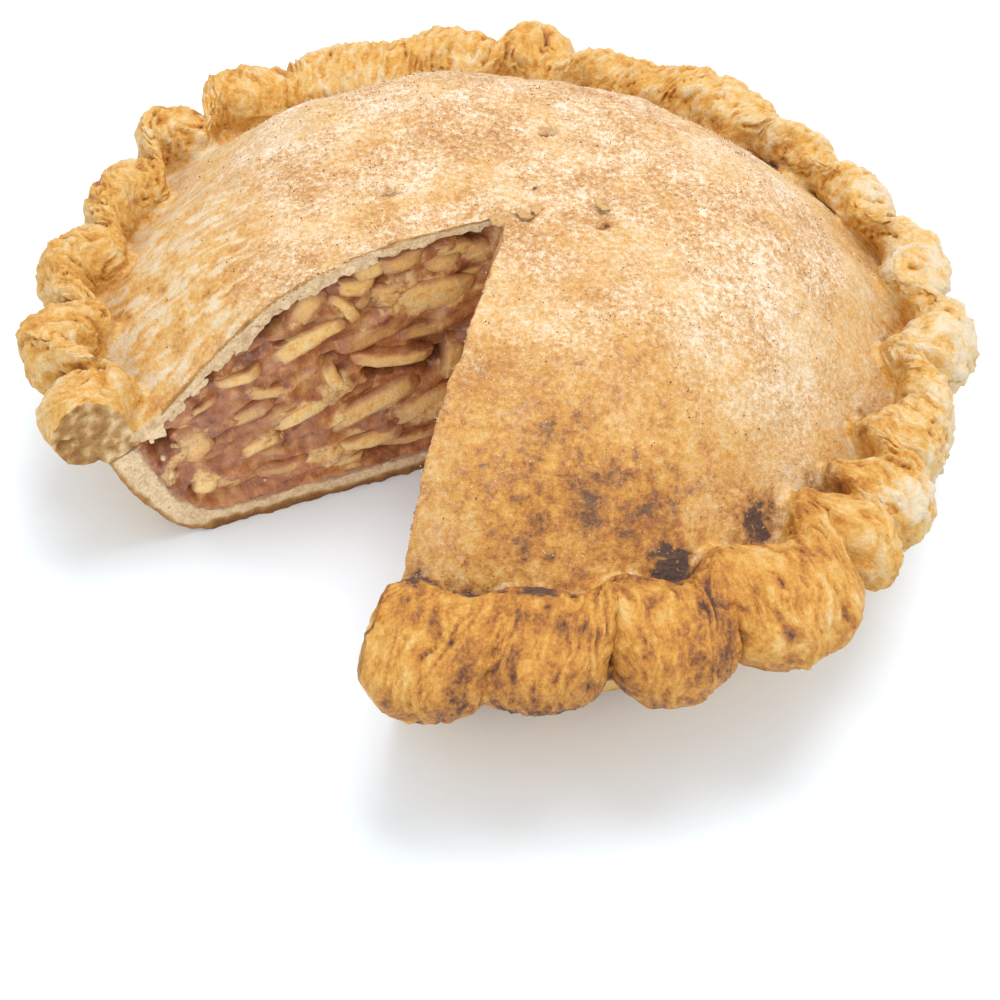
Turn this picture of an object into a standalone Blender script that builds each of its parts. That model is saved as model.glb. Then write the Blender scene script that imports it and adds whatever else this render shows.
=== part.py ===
"""A family-size apple pie with two crusts, as served: one wedge has been cut out and taken away.

Three solids are nested with a hair of air between them. The bottom crust is a deep baked bowl, the
filling is the block of fruit and sauce inside it, and the top crust is the domed lid with the fluted
rim that grips the bowl's edge. Each is modelled whole, as a turned form made uneven by hand, and then
cut with the same knife wedge. The cut faces of the filling carry the fruit slices that show there.

Units are metres. The origin is under the middle of the pie's outline, at the level it stands on. The
axis it was turned and cut about lies a little to the side, because the rim is pinched unevenly. +Z is
up, and -Y is the side that the wedge was taken from. Angles are degrees about that axis,
anticlockwise from +X seen from above.
"""

import bisect
import math
import random

import bmesh
import bpy
import mathutils

MM = 0.001

# The whole pie: the size of a 9 inch deep dish pie.
RIM_RADIUS = 124.5 * MM
RIM_OVAL = 1.8 * MM
APEX_HEIGHT = 86.0 * MM
GAP = 0.3 * MM
AXIS = (-1.7 * MM, -2.0 * MM, 0.0)

# The lid: a flat-topped dome that falls to a valley where the rim begins.
DOME_FOOT = 42.0 * MM
DOME_FLATNESS = 4.0
DOME_FALL = 1.8
LID_THICKNESS = 3.6 * MM
VALLEY_SHARE = 0.915

# The dome isn't round. Where its slope would reach the level of its foot, as (angle, radius).
DOME_SPREAD = (
    (10.0, 119.0 * MM),
    (30.0, 121.0 * MM),
    (58.0, 116.0 * MM),
    (95.0, 113.0 * MM),
    (120.0, 115.0 * MM),
    (138.0, 121.0 * MM),
    (158.0, 114.0 * MM),
    (182.0, 113.0 * MM),
    (207.0, 104.0 * MM),
    (258.0, 103.0 * MM),
    (312.0, 103.5 * MM),
    (335.0, 107.0 * MM),
    (352.0, 112.0 * MM),
)

# Soft swells where fruit pushes the lid up: (angle, distance from the axis, width, height).
SWELLS = (
    (114.0, 64.0 * MM, 30.0 * MM, 5.5 * MM),
    (62.0, 70.0 * MM, 26.0 * MM, 3.0 * MM),
    (20.0, 76.0 * MM, 24.0 * MM, 3.0 * MM),
    (142.0, 80.0 * MM, 24.0 * MM, 2.0 * MM),
    (318.0, 62.0 * MM, 26.0 * MM, 1.5 * MM),
)

# Rings of the lid, as (share of the dome's spread, points on the ring), and their radii underneath.
DOME_RINGS = ((0.15, 14), (0.29, 26), (0.42, 40), (0.53, 48), (0.62, 60), (0.71, 72), (0.79, 80), (0.86, 96))
ROOF_RINGS = (
    (16.0 * MM, 14),
    (31.0 * MM, 26),
    (45.0 * MM, 40),
    (56.0 * MM, 48),
    (66.0 * MM, 60),
    (75.0 * MM, 72),
    (83.0 * MM, 72),
    (90.0 * MM, 72),
    (95.5 * MM, 72),
)

# The bowl of the bottom crust, in section.
FLOOR_THICKNESS = 7.3 * MM
FLOOR_SAG = 0.6 * MM
FLOOR_CORNER = 80.0 * MM
HEEL_RISE = 2.2 * MM
HEEL_RADIUS = 86.0 * MM
WALL_FLARE = 0.6
WALL_TOP_INSIDE = (100.4 * MM, 39.0 * MM)
WALL_TOP_OUTSIDE = (109.2 * MM, 34.8 * MM)
WALL_OUTSIDE = (
    (105.6 * MM, 25.4 * MM),
    (101.2 * MM, 16.5 * MM),
    (95.0 * MM, 7.2 * MM),
    (89.5 * MM, 1.8 * MM),
    (83.0 * MM, 0.0),
)
INNER_FLOOR = 45.0 * MM
BOWL_POINTS = 72

# The rim, in section: an oval roll of pastry, thinner and lower in the creases between flutes.
RIM_TOP = 57.5 * MM
RIM_UNDERSIDE = 36.2 * MM
RIM_TURNS = (156, 136, 116, 94, 72, 50, 28, 6, -18, -44, -72, -100)
THINNEST_ROLL = 7.0 * MM
CREASE_DROP = 0.8 * MM
CREASE_DROP_SHARE = 0.45
DEEPEST_DROP = 4.5 * MM
CREASE_LIFT = 1.2 * MM
INNER_CREASE = 1.6 * MM
SEAT_LIP = 1.0 * MM
SEAT_LIP_SPREAD = 0.05 * MM
FLUTE_SLANT = 5.0
FLUTE_COLUMNS = 8
FLUTE_ROUNDNESS = 2.2
FLUTE_FULLNESS = 0.68
SEAT_POINTS = 108

# The flutes, pinched by hand: (angle of the crease that ends it, depth of that crease, how far the
# flute stands out, how far it stands up).
FLUTES = (
    (9.8, 8.5 * MM, 5.5 * MM, 0.0),
    (23.6, 8.0 * MM, 5.5 * MM, 0.6 * MM),
    (36.8, 6.5 * MM, 2.5 * MM, 0.0),
    (49.5, 3.0 * MM, 1.5 * MM, 0.0),
    (68.5, 0.8 * MM, 4.5 * MM, 0.3 * MM),
    (82.0, 5.0 * MM, 0.0, -0.5 * MM),
    (92.5, 3.0 * MM, 6.5 * MM, 3.0 * MM),
    (108.2, 0.6 * MM, 3.0 * MM, 1.5 * MM),
    (124.5, 1.5 * MM, 4.0 * MM, 0.0),
    (139.5, 6.0 * MM, 7.0 * MM, 0.8 * MM),
    (151.5, 6.0 * MM, 7.0 * MM, 1.5 * MM),
    (167.5, 6.5 * MM, 1.0 * MM, 0.0),
    (183.0, 7.0 * MM, 2.5 * MM, 0.0),
    (196.5, 9.0 * MM, 3.5 * MM, 0.0),
    (210.0, 7.0 * MM, -0.5 * MM, 0.0),
    (227.0, 3.0 * MM, 2.0 * MM, 0.0),
    (243.0, 3.0 * MM, 2.0 * MM, 0.0),
    (257.6, 9.0 * MM, 2.0 * MM, 0.0),
    (271.0, 4.0 * MM, 3.0 * MM, 0.0),
    (285.8, 15.0 * MM, -1.5 * MM, 0.0),
    (300.5, 5.5 * MM, 2.4 * MM, 0.0),
    (318.8, 8.0 * MM, 6.0 * MM, 0.0),
    (326.1, 5.0 * MM, 2.0 * MM, 0.0),
    (336.8, 6.0 * MM, 1.0 * MM, 0.0),
    (354.5, 8.0 * MM, -1.0 * MM, 0.0),
)

# The knife wedge. The pie runs anticlockwise from the right cut to the left one.
LEFT_CUT = 206.8
RIGHT_CUT = 258.3
KNIFE_REACH = 190.0 * MM
KNIFE_DEPTH = 30.0 * MM
KNIFE_HEIGHT = 160.0 * MM
SAUCE_INSET = 1.6 * MM

# Fruit slices that show on the left cut face, measured on that face:
# (distance from the axis, height of the middle, length, thickness, tilt, how far it stands proud).
LEFT_SLICES = (
    (23.5, 65.2, 27.0, 9.0, 8, 1.2),
    (53.7, 58.8, 18.5, 4.6, -23, 1.2),
    (31.5, 47.5, 21.0, 5.2, 10, 3.0),
    (44.0, 66.5, 12.5, 3.6, 52, 0.9),
    (46.5, 42.0, 11.5, 3.8, 55, 0.9),
    (56.0, 34.3, 18.5, 4.4, -23, 1.0),
    (35.3, 30.4, 24.0, 5.6, -19, 0.9),
    (21.0, 23.9, 17.0, 8.6, -10, 1.0),
    (42.5, 17.2, 29.0, 3.8, 1, 1.1),
    (66.5, 14.0, 16.0, 3.8, 6, 0.8),
    (83.0, 17.6, 7.0, 7.2, 11, 1.0),
    (88.5, 29.5, 9.0, 6.0, -30, 1.1),
    (68.0, 26.2, 13.0, 5.0, -14, 1.0),
    (73.0, 50.5, 13.0, 5.2, -8, 0.9),
    (66.5, 42.8, 14.0, 4.2, 12, 0.8),
    (55.0, 70.2, 12.0, 6.0, -48, 0.9),
    (12.0, 39.5, 17.0, 5.6, 84, 0.9),
    (29.0, 76.0, 14.0, 6.0, -2, 0.9),
    (80.5, 40.5, 15.0, 4.6, -32, 0.9),
)
SLICE_DEPTH = 7.0 * MM
SLICE_SIDES = 9
SLICE_CLEARANCE = 1.2 * MM
SLICE_CHAMFER = 1.1 * MM
SLICE_FRONT = 0.78
SLICE_BACK = 0.9
SLICE_TAPER = 0.25
NEAREST_SLICE = 2.0 * MM

# The cut face that faces away carries slices in the same loose tilted layers.
RIGHT_SLICE_COUNT = 19
RIGHT_SLICE_SEED = 7
RIGHT_LAYERS = 6
RIGHT_COLUMNS = 3.4
LAYER_START = 14.0
LAYER_STEP = 11.5


def mix(start, end, share):
    """The value a share of the way from start to end."""
    return start + (end - start) * share


def dome_spread(angle):
    """The radius at which the dome's slope would reach its foot, eased between the named angles."""
    first = DOME_SPREAD[0][0]
    turn = (angle - first) % 360.0 + first
    for index, (start, near) in enumerate(DOME_SPREAD):
        end, far = DOME_SPREAD[(index + 1) % len(DOME_SPREAD)]
        if end <= start:
            end += 360.0
        if turn < end:
            break
    return mix(near, far, 0.5 - 0.5 * math.cos(math.pi * (turn - start) / (end - start)))


def swell(radius, angle):
    """How far the lid is pushed up or sunk at a place, over the even dome."""
    x = radius * math.cos(math.radians(angle))
    y = radius * math.sin(math.radians(angle))
    total = 0.0
    for swell_angle, distance, width, height in SWELLS:
        swell_x = distance * math.cos(math.radians(swell_angle))
        swell_y = distance * math.sin(math.radians(swell_angle))
        apart = math.hypot(x - swell_x, y - swell_y) / width
        total += height * math.exp(-apart * apart)
    edge = min(1.0, radius / dome_spread(angle))
    return total * (1.0 - edge**6)


def dome(radius, angle):
    """Height of the lid's top face at a distance and angle from the axis."""
    share = min(1.0, max(0.0, radius / dome_spread(angle)))
    even = DOME_FOOT + (APEX_HEIGHT - DOME_FOOT) * (1.0 - share**DOME_FLATNESS) ** DOME_FALL
    return even + swell(radius, angle)


def under_lid(radius, angle, thickness):
    """The point a thickness below the lid's face, square to its slope, as (radius, height)."""
    step = 0.1 * MM
    slope = (dome(radius + step, angle) - dome(radius - step, angle)) / (2 * step)
    length = math.hypot(1.0, slope)
    return radius + thickness * slope / length, dome(radius, angle) - thickness / length


def rim_radius(angle):
    """The rim's outer radius before fluting: slightly oval, longer along Y."""
    return RIM_RADIUS - RIM_OVAL * math.cos(2 * math.radians(angle))


def flute_columns():
    """Sections round the rim, as (angle, fullness 0 in a crease to 1 on a crest, depth, reach, lift)."""
    columns = []
    for index, (end, end_depth, reach, lift) in enumerate(FLUTES):
        start, start_depth, _, _ = FLUTES[index - 1]
        if start > end:
            start -= 360.0
        for step in range(FLUTE_COLUMNS):
            across = -math.cos(math.pi * step / FLUTE_COLUMNS)
            full = (1.0 - abs(across) ** FLUTE_ROUNDNESS) ** FLUTE_FULLNESS
            share = (across + 1.0) / 2.0
            depth = mix(start_depth, end_depth, share)
            columns.append((mix(start, end, share) % 360.0, full, depth, reach, lift))
    return sorted(columns)


def rim_section(angle, full, depth, reach, lift):
    """One section of the rim, from the valley over the top to its seat, as (radius, height, slant)."""
    valley = VALLEY_SHARE * dome_spread(angle)
    inner = valley + INNER_CREASE * (1.0 - full)
    outer = max(rim_radius(angle) + mix(-depth, reach, full), inner + THINNEST_ROLL)
    centre = (inner + outer) / 2
    half_width = (outer - inner) / 2
    drop = min(CREASE_DROP + CREASE_DROP_SHARE * depth, DEEPEST_DROP)
    top = RIM_TOP + mix(-drop, lift, full)
    underside = RIM_UNDERSIDE + CREASE_LIFT * (1.0 - full)
    middle = (top + underside) / 2
    half_height = (top - underside) / 2
    points = [(valley, dome(valley, angle), 1.0)]
    for turn in RIM_TURNS:
        facing = math.radians(turn)
        radius = centre + half_width * math.cos(facing)
        if turn < 0:
            least = WALL_TOP_OUTSIDE[0] + SEAT_LIP + SEAT_LIP_SPREAD * (turn - RIM_TURNS[-1])
            radius = max(radius, least)
        height = middle + half_height * math.sin(facing)
        points.append((radius, height, 0.5 - 0.5 * math.cos(facing)))
    return points


def loop_of(bm, points):
    """A ring of vertices from (angle, radius, height) points, kept with their angles."""
    ring = []
    for angle, radius, height in points:
        turn = math.radians(angle)
        vertex = bm.verts.new((radius * math.cos(turn), radius * math.sin(turn), height))
        ring.append((angle, vertex))
    return ring


def even_ring(bm, radius, height, count):
    """A level, round ring of evenly spaced vertices."""
    return loop_of(bm, [(360.0 * step / count, radius, height) for step in range(count)])


def lid_rings(bm):
    """Rings over the top of the lid, from its middle outwards."""
    rings = []
    for share, count in DOME_RINGS:
        points = []
        for step in range(count):
            angle = 360.0 * step / count
            radius = share * dome_spread(angle)
            points.append((angle, radius, dome(radius, angle)))
        rings.append(loop_of(bm, points))
    return rings


def roof_rings(bm, thickness):
    """Rings under the lid, from its middle outwards, a thickness below its face."""
    rings = []
    for distance, count in ROOF_RINGS:
        points = []
        for step in range(count):
            angle = 360.0 * step / count
            points.append((angle, *under_lid(distance, angle, thickness)))
        rings.append(loop_of(bm, points))
    return rings


def skin(bm, first, second):
    """Faces between two rings that may have different counts, always joining the nearest angles."""
    if len(first) == len(second):
        for i in range(len(first)):
            k = (i + 1) % len(first)
            bm.faces.new((first[i][1], first[k][1], second[k][1], second[i][1]))
        return
    i = j = 0
    while i < len(first) or j < len(second):
        next_first = first[(i + 1) % len(first)][0] + (360.0 if i + 1 >= len(first) else 0.0)
        next_second = second[(j + 1) % len(second)][0] + (360.0 if j + 1 >= len(second) else 0.0)
        a = first[i % len(first)][1]
        b = second[j % len(second)][1]
        if j >= len(second) or (i < len(first) and next_first <= next_second):
            bm.faces.new((a, first[(i + 1) % len(first)][1], b))
            i += 1
        else:
            bm.faces.new((a, second[(j + 1) % len(second)][1], b))
            j += 1


def cap(bm, ring, height):
    """Closes a ring with a fan to a point on the axis."""
    centre = bm.verts.new((0.0, 0.0, height))
    for i in range(len(ring)):
        bm.faces.new((ring[i][1], ring[(i + 1) % len(ring)][1], centre))


def shell(bm, rings, first_height, last_height):
    """A closed skin through a run of rings, capped on the axis at both ends."""
    for first, second in zip(rings, rings[1:]):
        skin(bm, first, second)
    cap(bm, rings[0], first_height)
    cap(bm, rings[-1], last_height)
    bmesh.ops.recalc_face_normals(bm, faces=bm.faces)


def bowl_profile(inset):
    """The inside of the bottom crust from the wall's top to the floor, moved into the filling by inset."""
    top_radius, top_height = WALL_TOP_INSIDE
    heel_height = FLOOR_THICKNESS + HEEL_RISE
    points = []
    for share in (1.0, 0.75, 0.5, 0.25, 0.0):
        flare = mix(HEEL_RADIUS, top_radius, share**WALL_FLARE)
        points.append((flare - inset, mix(heel_height, top_height, share)))
    points.append((FLOOR_CORNER - inset, FLOOR_THICKNESS + inset))
    points.append((INNER_FLOOR, FLOOR_THICKNESS + FLOOR_SAG + inset))
    return points


def make_material(name, colour, roughness):
    """A plain finish for one of the pieces."""
    material = bpy.data.materials.new(name)
    material.use_nodes = True
    shader = material.node_tree.nodes["Principled BSDF"]
    shader.inputs["Base Color"].default_value = (*colour, 1.0)
    shader.inputs["Roughness"].default_value = roughness
    shader.inputs["Metallic"].default_value = 0.0
    return material


def make_object(name, bm, material=None):
    """Puts a finished bmesh into the scene as an object."""
    mesh = bpy.data.meshes.new(name)
    bm.to_mesh(mesh)
    bm.free()
    if material is not None:
        mesh.materials.append(material)
    body = bpy.data.objects.new(name, mesh)
    bpy.context.scene.collection.objects.link(body)
    return body


def apply_boolean(body, operation, cutter=None, collection=None):
    """One Boolean on an object, applied at once."""
    modifier = body.modifiers.new("join", "BOOLEAN")
    modifier.operation = operation
    modifier.solver = "EXACT"
    if collection is None:
        modifier.object = cutter
    else:
        modifier.operand_type = "COLLECTION"
        modifier.collection = collection
    bpy.context.view_layer.objects.active = body
    with bpy.context.temp_override(object=body, active_object=body):
        bpy.ops.object.modifier_apply(modifier=modifier.name)


def knife_wedge(inset):
    """The wedge that is cut away, shrunk by inset on both faces or widened where inset is negative."""
    half = math.radians(RIGHT_CUT - LEFT_CUT) / 2
    middle = math.radians(LEFT_CUT + RIGHT_CUT) / 2
    tip = inset / math.sin(half)
    corners = [(tip * math.cos(middle), tip * math.sin(middle))]
    for turn in (-half, -half / 3, half / 3, half):
        x = tip * math.cos(middle) + KNIFE_REACH * math.cos(middle + turn)
        y = tip * math.sin(middle) + KNIFE_REACH * math.sin(middle + turn)
        corners.append((x, y))
    bm = bmesh.new()
    foot = [bm.verts.new((x, y, -KNIFE_DEPTH)) for x, y in corners]
    base = bm.faces.new(foot)
    sides = bmesh.ops.extrude_face_region(bm, geom=[base])
    raised = [item for item in sides["geom"] if isinstance(item, bmesh.types.BMVert)]
    bmesh.ops.translate(bm, verts=raised, vec=(0.0, 0.0, KNIFE_HEIGHT))
    bmesh.ops.recalc_face_normals(bm, faces=bm.faces)
    cutter = make_object("knife", bm)
    cutter.display_type = "WIRE"
    cutter.hide_render = True
    return cutter


def cut_wedge(body, inset=0.0):
    """Takes the served wedge out of a whole turned piece."""
    cutter = knife_wedge(inset)
    apply_boolean(body, "DIFFERENCE", cutter=cutter)
    bpy.data.objects.remove(cutter)


def make_top_crust():
    """The domed lid and the fluted rim, one piece of pastry, resting on the bowl's edge."""
    bm = bmesh.new()
    rings = lid_rings(bm)
    columns = flute_columns()
    sections = [rim_section(*column) for column in columns]
    for row in range(len(sections[0])):
        points = []
        for column, section in zip(columns, sections):
            radius, height, slant = section[row]
            points.append((column[0] + FLUTE_SLANT * slant, radius, height))
        rings.append(loop_of(bm, points))
    rings.append(even_ring(bm, WALL_TOP_OUTSIDE[0], WALL_TOP_OUTSIDE[1] + GAP, SEAT_POINTS))
    rings.append(even_ring(bm, WALL_TOP_INSIDE[0], WALL_TOP_INSIDE[1] + GAP, SEAT_POINTS))
    rings.extend(reversed(roof_rings(bm, LID_THICKNESS)))
    shell(bm, rings, dome(0.0, 0.0), dome(0.0, 0.0) - LID_THICKNESS)
    body = make_object("top_crust", bm, make_material("golden_crust", (0.62, 0.36, 0.14), 0.6))
    cut_wedge(body)
    return body


def make_bottom_crust():
    """The deep bowl under the filling, with a rounded heel and a flat base."""
    bm = bmesh.new()
    rings = []
    for radius, height in reversed(bowl_profile(0.0)):
        rings.append(even_ring(bm, radius, height, BOWL_POINTS))
    for radius, height in (WALL_TOP_OUTSIDE, *WALL_OUTSIDE):
        rings.append(even_ring(bm, radius, height, BOWL_POINTS))
    rings.append(even_ring(bm, INNER_FLOOR, 0.0, BOWL_POINTS // 2))
    shell(bm, rings, FLOOR_THICKNESS + FLOOR_SAG, 0.0)
    body = make_object("bottom_crust", bm, make_material("pale_crust", (0.72, 0.55, 0.36), 0.7))
    cut_wedge(body)
    return body


def roof_height(radius, angle):
    """Height of the filling's top at a place, found on the run of roof points."""
    runs = [under_lid(distance, angle, LID_THICKNESS + GAP) for distance, _ in ROOF_RINGS]
    radii = [0.0] + [run[0] for run in runs]
    heights = [dome(0.0, 0.0) - LID_THICKNESS - GAP] + [run[1] for run in runs]
    place = min(max(1, bisect.bisect(radii, radius)), len(radii) - 1)
    share = (radius - radii[place - 1]) / (radii[place] - radii[place - 1])
    return mix(heights[place - 1], heights[place], min(1.0, share))


def wall_distance(height):
    """How far the filling reaches from the axis at a height."""
    profile = bowl_profile(GAP)[:5]
    for (near_radius, near_height), (far_radius, far_height) in zip(profile, profile[1:]):
        if height >= far_height:
            share = min(1.0, (near_height - height) / (near_height - far_height))
            return mix(near_radius, far_radius, max(0.0, share))
    return profile[-1][0]


def fruit_slice(face_angle, side, row):
    """One slice of fruit lying in a cut face: a lens-shaped block with a rounded front edge."""
    distance, height, length, thickness, tilt, proud = row
    along = (math.cos(math.radians(face_angle)), math.sin(math.radians(face_angle)))
    inward = (-side * along[1], side * along[0])
    lean = math.radians(tilt)
    front = SAUCE_INSET - proud * MM
    bm = bmesh.new()
    for depth, scale in ((front, SLICE_FRONT), (front + SLICE_CHAMFER, 1.0), (SLICE_DEPTH, SLICE_BACK)):
        for step in range(SLICE_SIDES):
            turn = 2 * math.pi * step / SLICE_SIDES
            u = 0.5 * length * MM * scale * math.cos(turn)
            v = 0.5 * thickness * MM * scale * math.sin(turn) * (1.0 - SLICE_TAPER * math.cos(turn))
            out = distance * MM + u * math.cos(lean) - v * math.sin(lean)
            up = height * MM + u * math.sin(lean) + v * math.cos(lean)
            out = min(max(out, NEAREST_SLICE), wall_distance(up) - 2 * SLICE_CLEARANCE)
            x = along[0] * out + inward[0] * depth
            y = along[1] * out + inward[1] * depth
            place = math.degrees(math.atan2(y, x))
            up = min(up, roof_height(math.hypot(x, y), place) - SLICE_CLEARANCE)
            up = max(up, FLOOR_THICKNESS + FLOOR_SAG + SLICE_CLEARANCE)
            bm.verts.new((x, y, up))
    bmesh.ops.remove_doubles(bm, verts=bm.verts, dist=0.01 * MM)
    hull = bmesh.ops.convex_hull(bm, input=bm.verts)
    spare = [item for item in hull["geom_interior"] if isinstance(item, bmesh.types.BMVert)]
    bmesh.ops.delete(bm, geom=spare, context="VERTS")
    return bm


def right_slices():
    """Slices for the cut face that faces away, as rows like those of the left face."""
    draw = random.Random(RIGHT_SLICE_SEED)
    rows = []
    for index in range(RIGHT_SLICE_COUNT):
        height = LAYER_START + LAYER_STEP * (index % RIGHT_LAYERS) + draw.uniform(-2.0, 2.0)
        far = 86.0 - 0.9 * max(0.0, height - 40.0)
        column = index // RIGHT_LAYERS + draw.uniform(0.25, 0.75)
        distance = mix(14.0, far, column / RIGHT_COLUMNS)
        length = draw.uniform(12.0, 25.0)
        rows.append((distance, height, length, draw.uniform(3.8, 7.0), draw.uniform(-28, 12), 1.0))
    return rows


def make_filling():
    """The block of cooked fruit and sauce, with the fruit slices standing a little out of the cut sauce."""
    bm = bmesh.new()
    rings = roof_rings(bm, LID_THICKNESS + GAP)
    for radius, height in bowl_profile(GAP):
        rings.append(even_ring(bm, radius, height, BOWL_POINTS))
    roof = dome(0.0, 0.0) - LID_THICKNESS - GAP
    shell(bm, rings, roof, FLOOR_THICKNESS + FLOOR_SAG + GAP)
    body = make_object("fruit_filling", bm, make_material("fruit_sauce", (0.42, 0.19, 0.11), 0.3))
    cut_wedge(body, -SAUCE_INSET)
    slices = bpy.data.collections.new("slices")
    bpy.context.scene.collection.children.link(slices)
    faces = ((LEFT_CUT, -1.0, LEFT_SLICES), (RIGHT_CUT, 1.0, right_slices()))
    for face_angle, side, rows in faces:
        for index, row in enumerate(rows):
            piece = make_object(f"slice_{int(face_angle)}_{index}", fruit_slice(face_angle, side, row))
            bpy.context.scene.collection.objects.unlink(piece)
            slices.objects.link(piece)
    apply_boolean(body, "UNION", collection=slices)
    for piece in list(slices.objects):
        bpy.data.objects.remove(piece)
    bpy.data.collections.remove(slices)
    return body


def main():
    for old in list(bpy.data.objects):
        bpy.data.objects.remove(old)
    for body in (make_bottom_crust(), make_filling(), make_top_crust()):
        body.data.shade_smooth()
        body.data.set_sharp_from_angle(angle=math.radians(50))
        body.data.transform(mathutils.Matrix.Translation(AXIS))


main()
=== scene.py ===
"""The look of the fruit pie: crusts with real relief, cooked filling, fruit, flakes, sugar and a stage.

The solids of the pie come from its frame. Each piece here keeps their form and adds what baking adds.
Sizes are in millimetres unless a name says otherwise, about the axis that the pie was turned on, and
every finished mesh is moved to the frame and scaled to metres by finish_mesh. Angles are degrees,
anticlockwise from +X seen from above.
"""

import contextlib
import math
import random

import bpy
import numpy as np
from mathutils import Matrix, Vector


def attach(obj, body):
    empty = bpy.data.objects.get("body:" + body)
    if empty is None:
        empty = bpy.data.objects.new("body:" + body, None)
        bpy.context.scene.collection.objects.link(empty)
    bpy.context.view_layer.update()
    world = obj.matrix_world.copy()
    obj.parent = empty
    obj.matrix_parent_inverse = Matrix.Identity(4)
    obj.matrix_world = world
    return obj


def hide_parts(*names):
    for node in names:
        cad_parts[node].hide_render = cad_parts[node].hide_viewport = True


bl_info = {
    "name": "Fruit pie",
    "version": (1, 0, 0),
    "blender": (4, 5, 0),
    "location": "View3D > Sidebar > Pie",
    "description": "Builds the crusts, filling, toppings and stage of a cut fruit pie",
    "category": "Object",
}

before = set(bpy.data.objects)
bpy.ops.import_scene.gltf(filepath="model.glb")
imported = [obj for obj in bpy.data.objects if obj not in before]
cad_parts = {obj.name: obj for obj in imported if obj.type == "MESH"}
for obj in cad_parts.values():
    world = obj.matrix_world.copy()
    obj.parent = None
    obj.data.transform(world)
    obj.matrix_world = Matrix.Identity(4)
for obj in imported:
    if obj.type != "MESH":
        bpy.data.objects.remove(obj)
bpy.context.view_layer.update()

MM = 0.001

# The turned form, as in the solids.
AXIS = (-1.7, -2.0, 0.0)
RIM_RADIUS = 124.5
RIM_OVAL = 1.8
APEX_HEIGHT = 86.0
DOME_FOOT = 42.0
DOME_FLATNESS = 4.0
DOME_FALL = 1.8
LID_THICKNESS = 2.5
GAP = 0.3
DOME_SPREAD = (
    (10.0, 119.0),
    (30.0, 121.0),
    (58.0, 116.0),
    (95.0, 113.0),
    (120.0, 115.0),
    (138.0, 121.0),
    (158.0, 114.0),
    (182.0, 113.0),
    (207.0, 104.0),
    (258.0, 103.0),
    (312.0, 103.5),
    (335.0, 107.0),
    (352.0, 112.0),
)
SWELLS = (
    (114.0, 64.0, 30.0, 5.5),
    (62.0, 70.0, 26.0, 3.0),
    (20.0, 76.0, 24.0, 3.0),
    (142.0, 80.0, 24.0, 2.0),
    (318.0, 62.0, 26.0, 1.5),
)
RIM_TOP = 57.5
RIM_UNDERSIDE = 36.2
CREASE_DROP = 0.8
CREASE_DROP_SHARE = 0.45
DEEPEST_DROP = 4.5
CREASE_LIFT = 1.2
THINNEST_ROLL = 7.0
FLUTE_SLANT = 5.0
FLUTE_ROUNDNESS = 2.2
FLUTE_FULLNESS = 0.68
FLUTES = (
    (9.8, 8.5, 5.5, 0.0),
    (23.6, 8.0, 5.5, 0.6),
    (36.8, 6.5, 2.5, 0.0),
    (49.5, 3.0, 1.5, 0.0),
    (68.5, 0.8, 4.5, 0.3),
    (82.0, 5.0, 0.0, -0.5),
    (92.5, 3.0, 6.5, 3.0),
    (108.2, 0.6, 3.0, 1.5),
    (124.5, 1.5, 4.0, 0.0),
    (139.5, 6.0, 7.0, 0.8),
    (151.5, 6.0, 7.0, 1.5),
    (167.5, 6.5, 1.0, 0.0),
    (183.0, 7.0, 2.5, 0.0),
    (196.5, 9.0, 3.5, 0.0),
    (210.0, 7.0, -0.5, 0.0),
    (227.0, 3.0, 2.0, 0.0),
    (243.0, 3.0, 2.0, 0.0),
    (257.6, 9.0, 2.0, 0.0),
    (271.0, 4.0, 3.0, 0.0),
    (285.8, 15.0, -1.5, 0.0),
    (300.5, 5.5, 2.4, 0.0),
    (318.8, 8.0, 6.0, 0.0),
    (326.1, 5.0, 2.0, 0.0),
    (336.8, 6.0, 1.0, 0.0),
    (354.5, 8.0, -1.0, 0.0),
)
FLOOR_THICKNESS = 7.3
WALL_TOP_INSIDE = (100.4, 39.0)
WALL_TOP_OUTSIDE = (109.2, 34.8)
BOWL_INSIDE = ((45.0, 7.9), (80.0, 7.3), (86.0, 9.5), (92.3, 16.9), (95.5, 24.2), (98.1, 31.6), (100.4, 39.0))
BOWL_OUTSIDE = ((109.2, 34.8), (105.6, 25.4), (101.2, 16.5), (95.0, 7.2), (89.5, 1.8), (83.0, 0.0), (45.0, 0.0))
LEFT_CUT = 206.8
RIGHT_CUT = 258.3
SAUCE_INSET = 1.6

# The two cut planes, each with the side that the missing wedge lies on, and the size of their faces.
CUTS = ((LEFT_CUT, 1.0), (RIGHT_CUT, -1.0))
SWEEP = 360.0 + LEFT_CUT - RIGHT_CUT
CUT_GRID = 0.9

# The way along the top crust's section, from the middle of the lid out over the rim and back underneath.
LID_RUN = 96.0
VALLEY_RUN = 112.0
RIM_RUN = 172.0
SEAT_RUN = 184.0
ROOF_RUN = 284.0
LID_ROWS = (*range(0, 96, 4), 96.0, 100.0, 104.0, 108.0, 112.0)
RIM_ROWS = (119.5, 127.0, 134.5, 142.0, 149.5, 157.0, 164.5, 172.0)
UNDER_ROWS = (176.0, 180.0, *range(184, 284, 4), 284.0)
LAST_TURN = -100.0

# How the ridge of the rim swings out between the hollows that thumbs pressed beside the lid.
HOLLOW_WIDTH = 9.0
LEAST_RIDGE = 15.0

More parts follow.
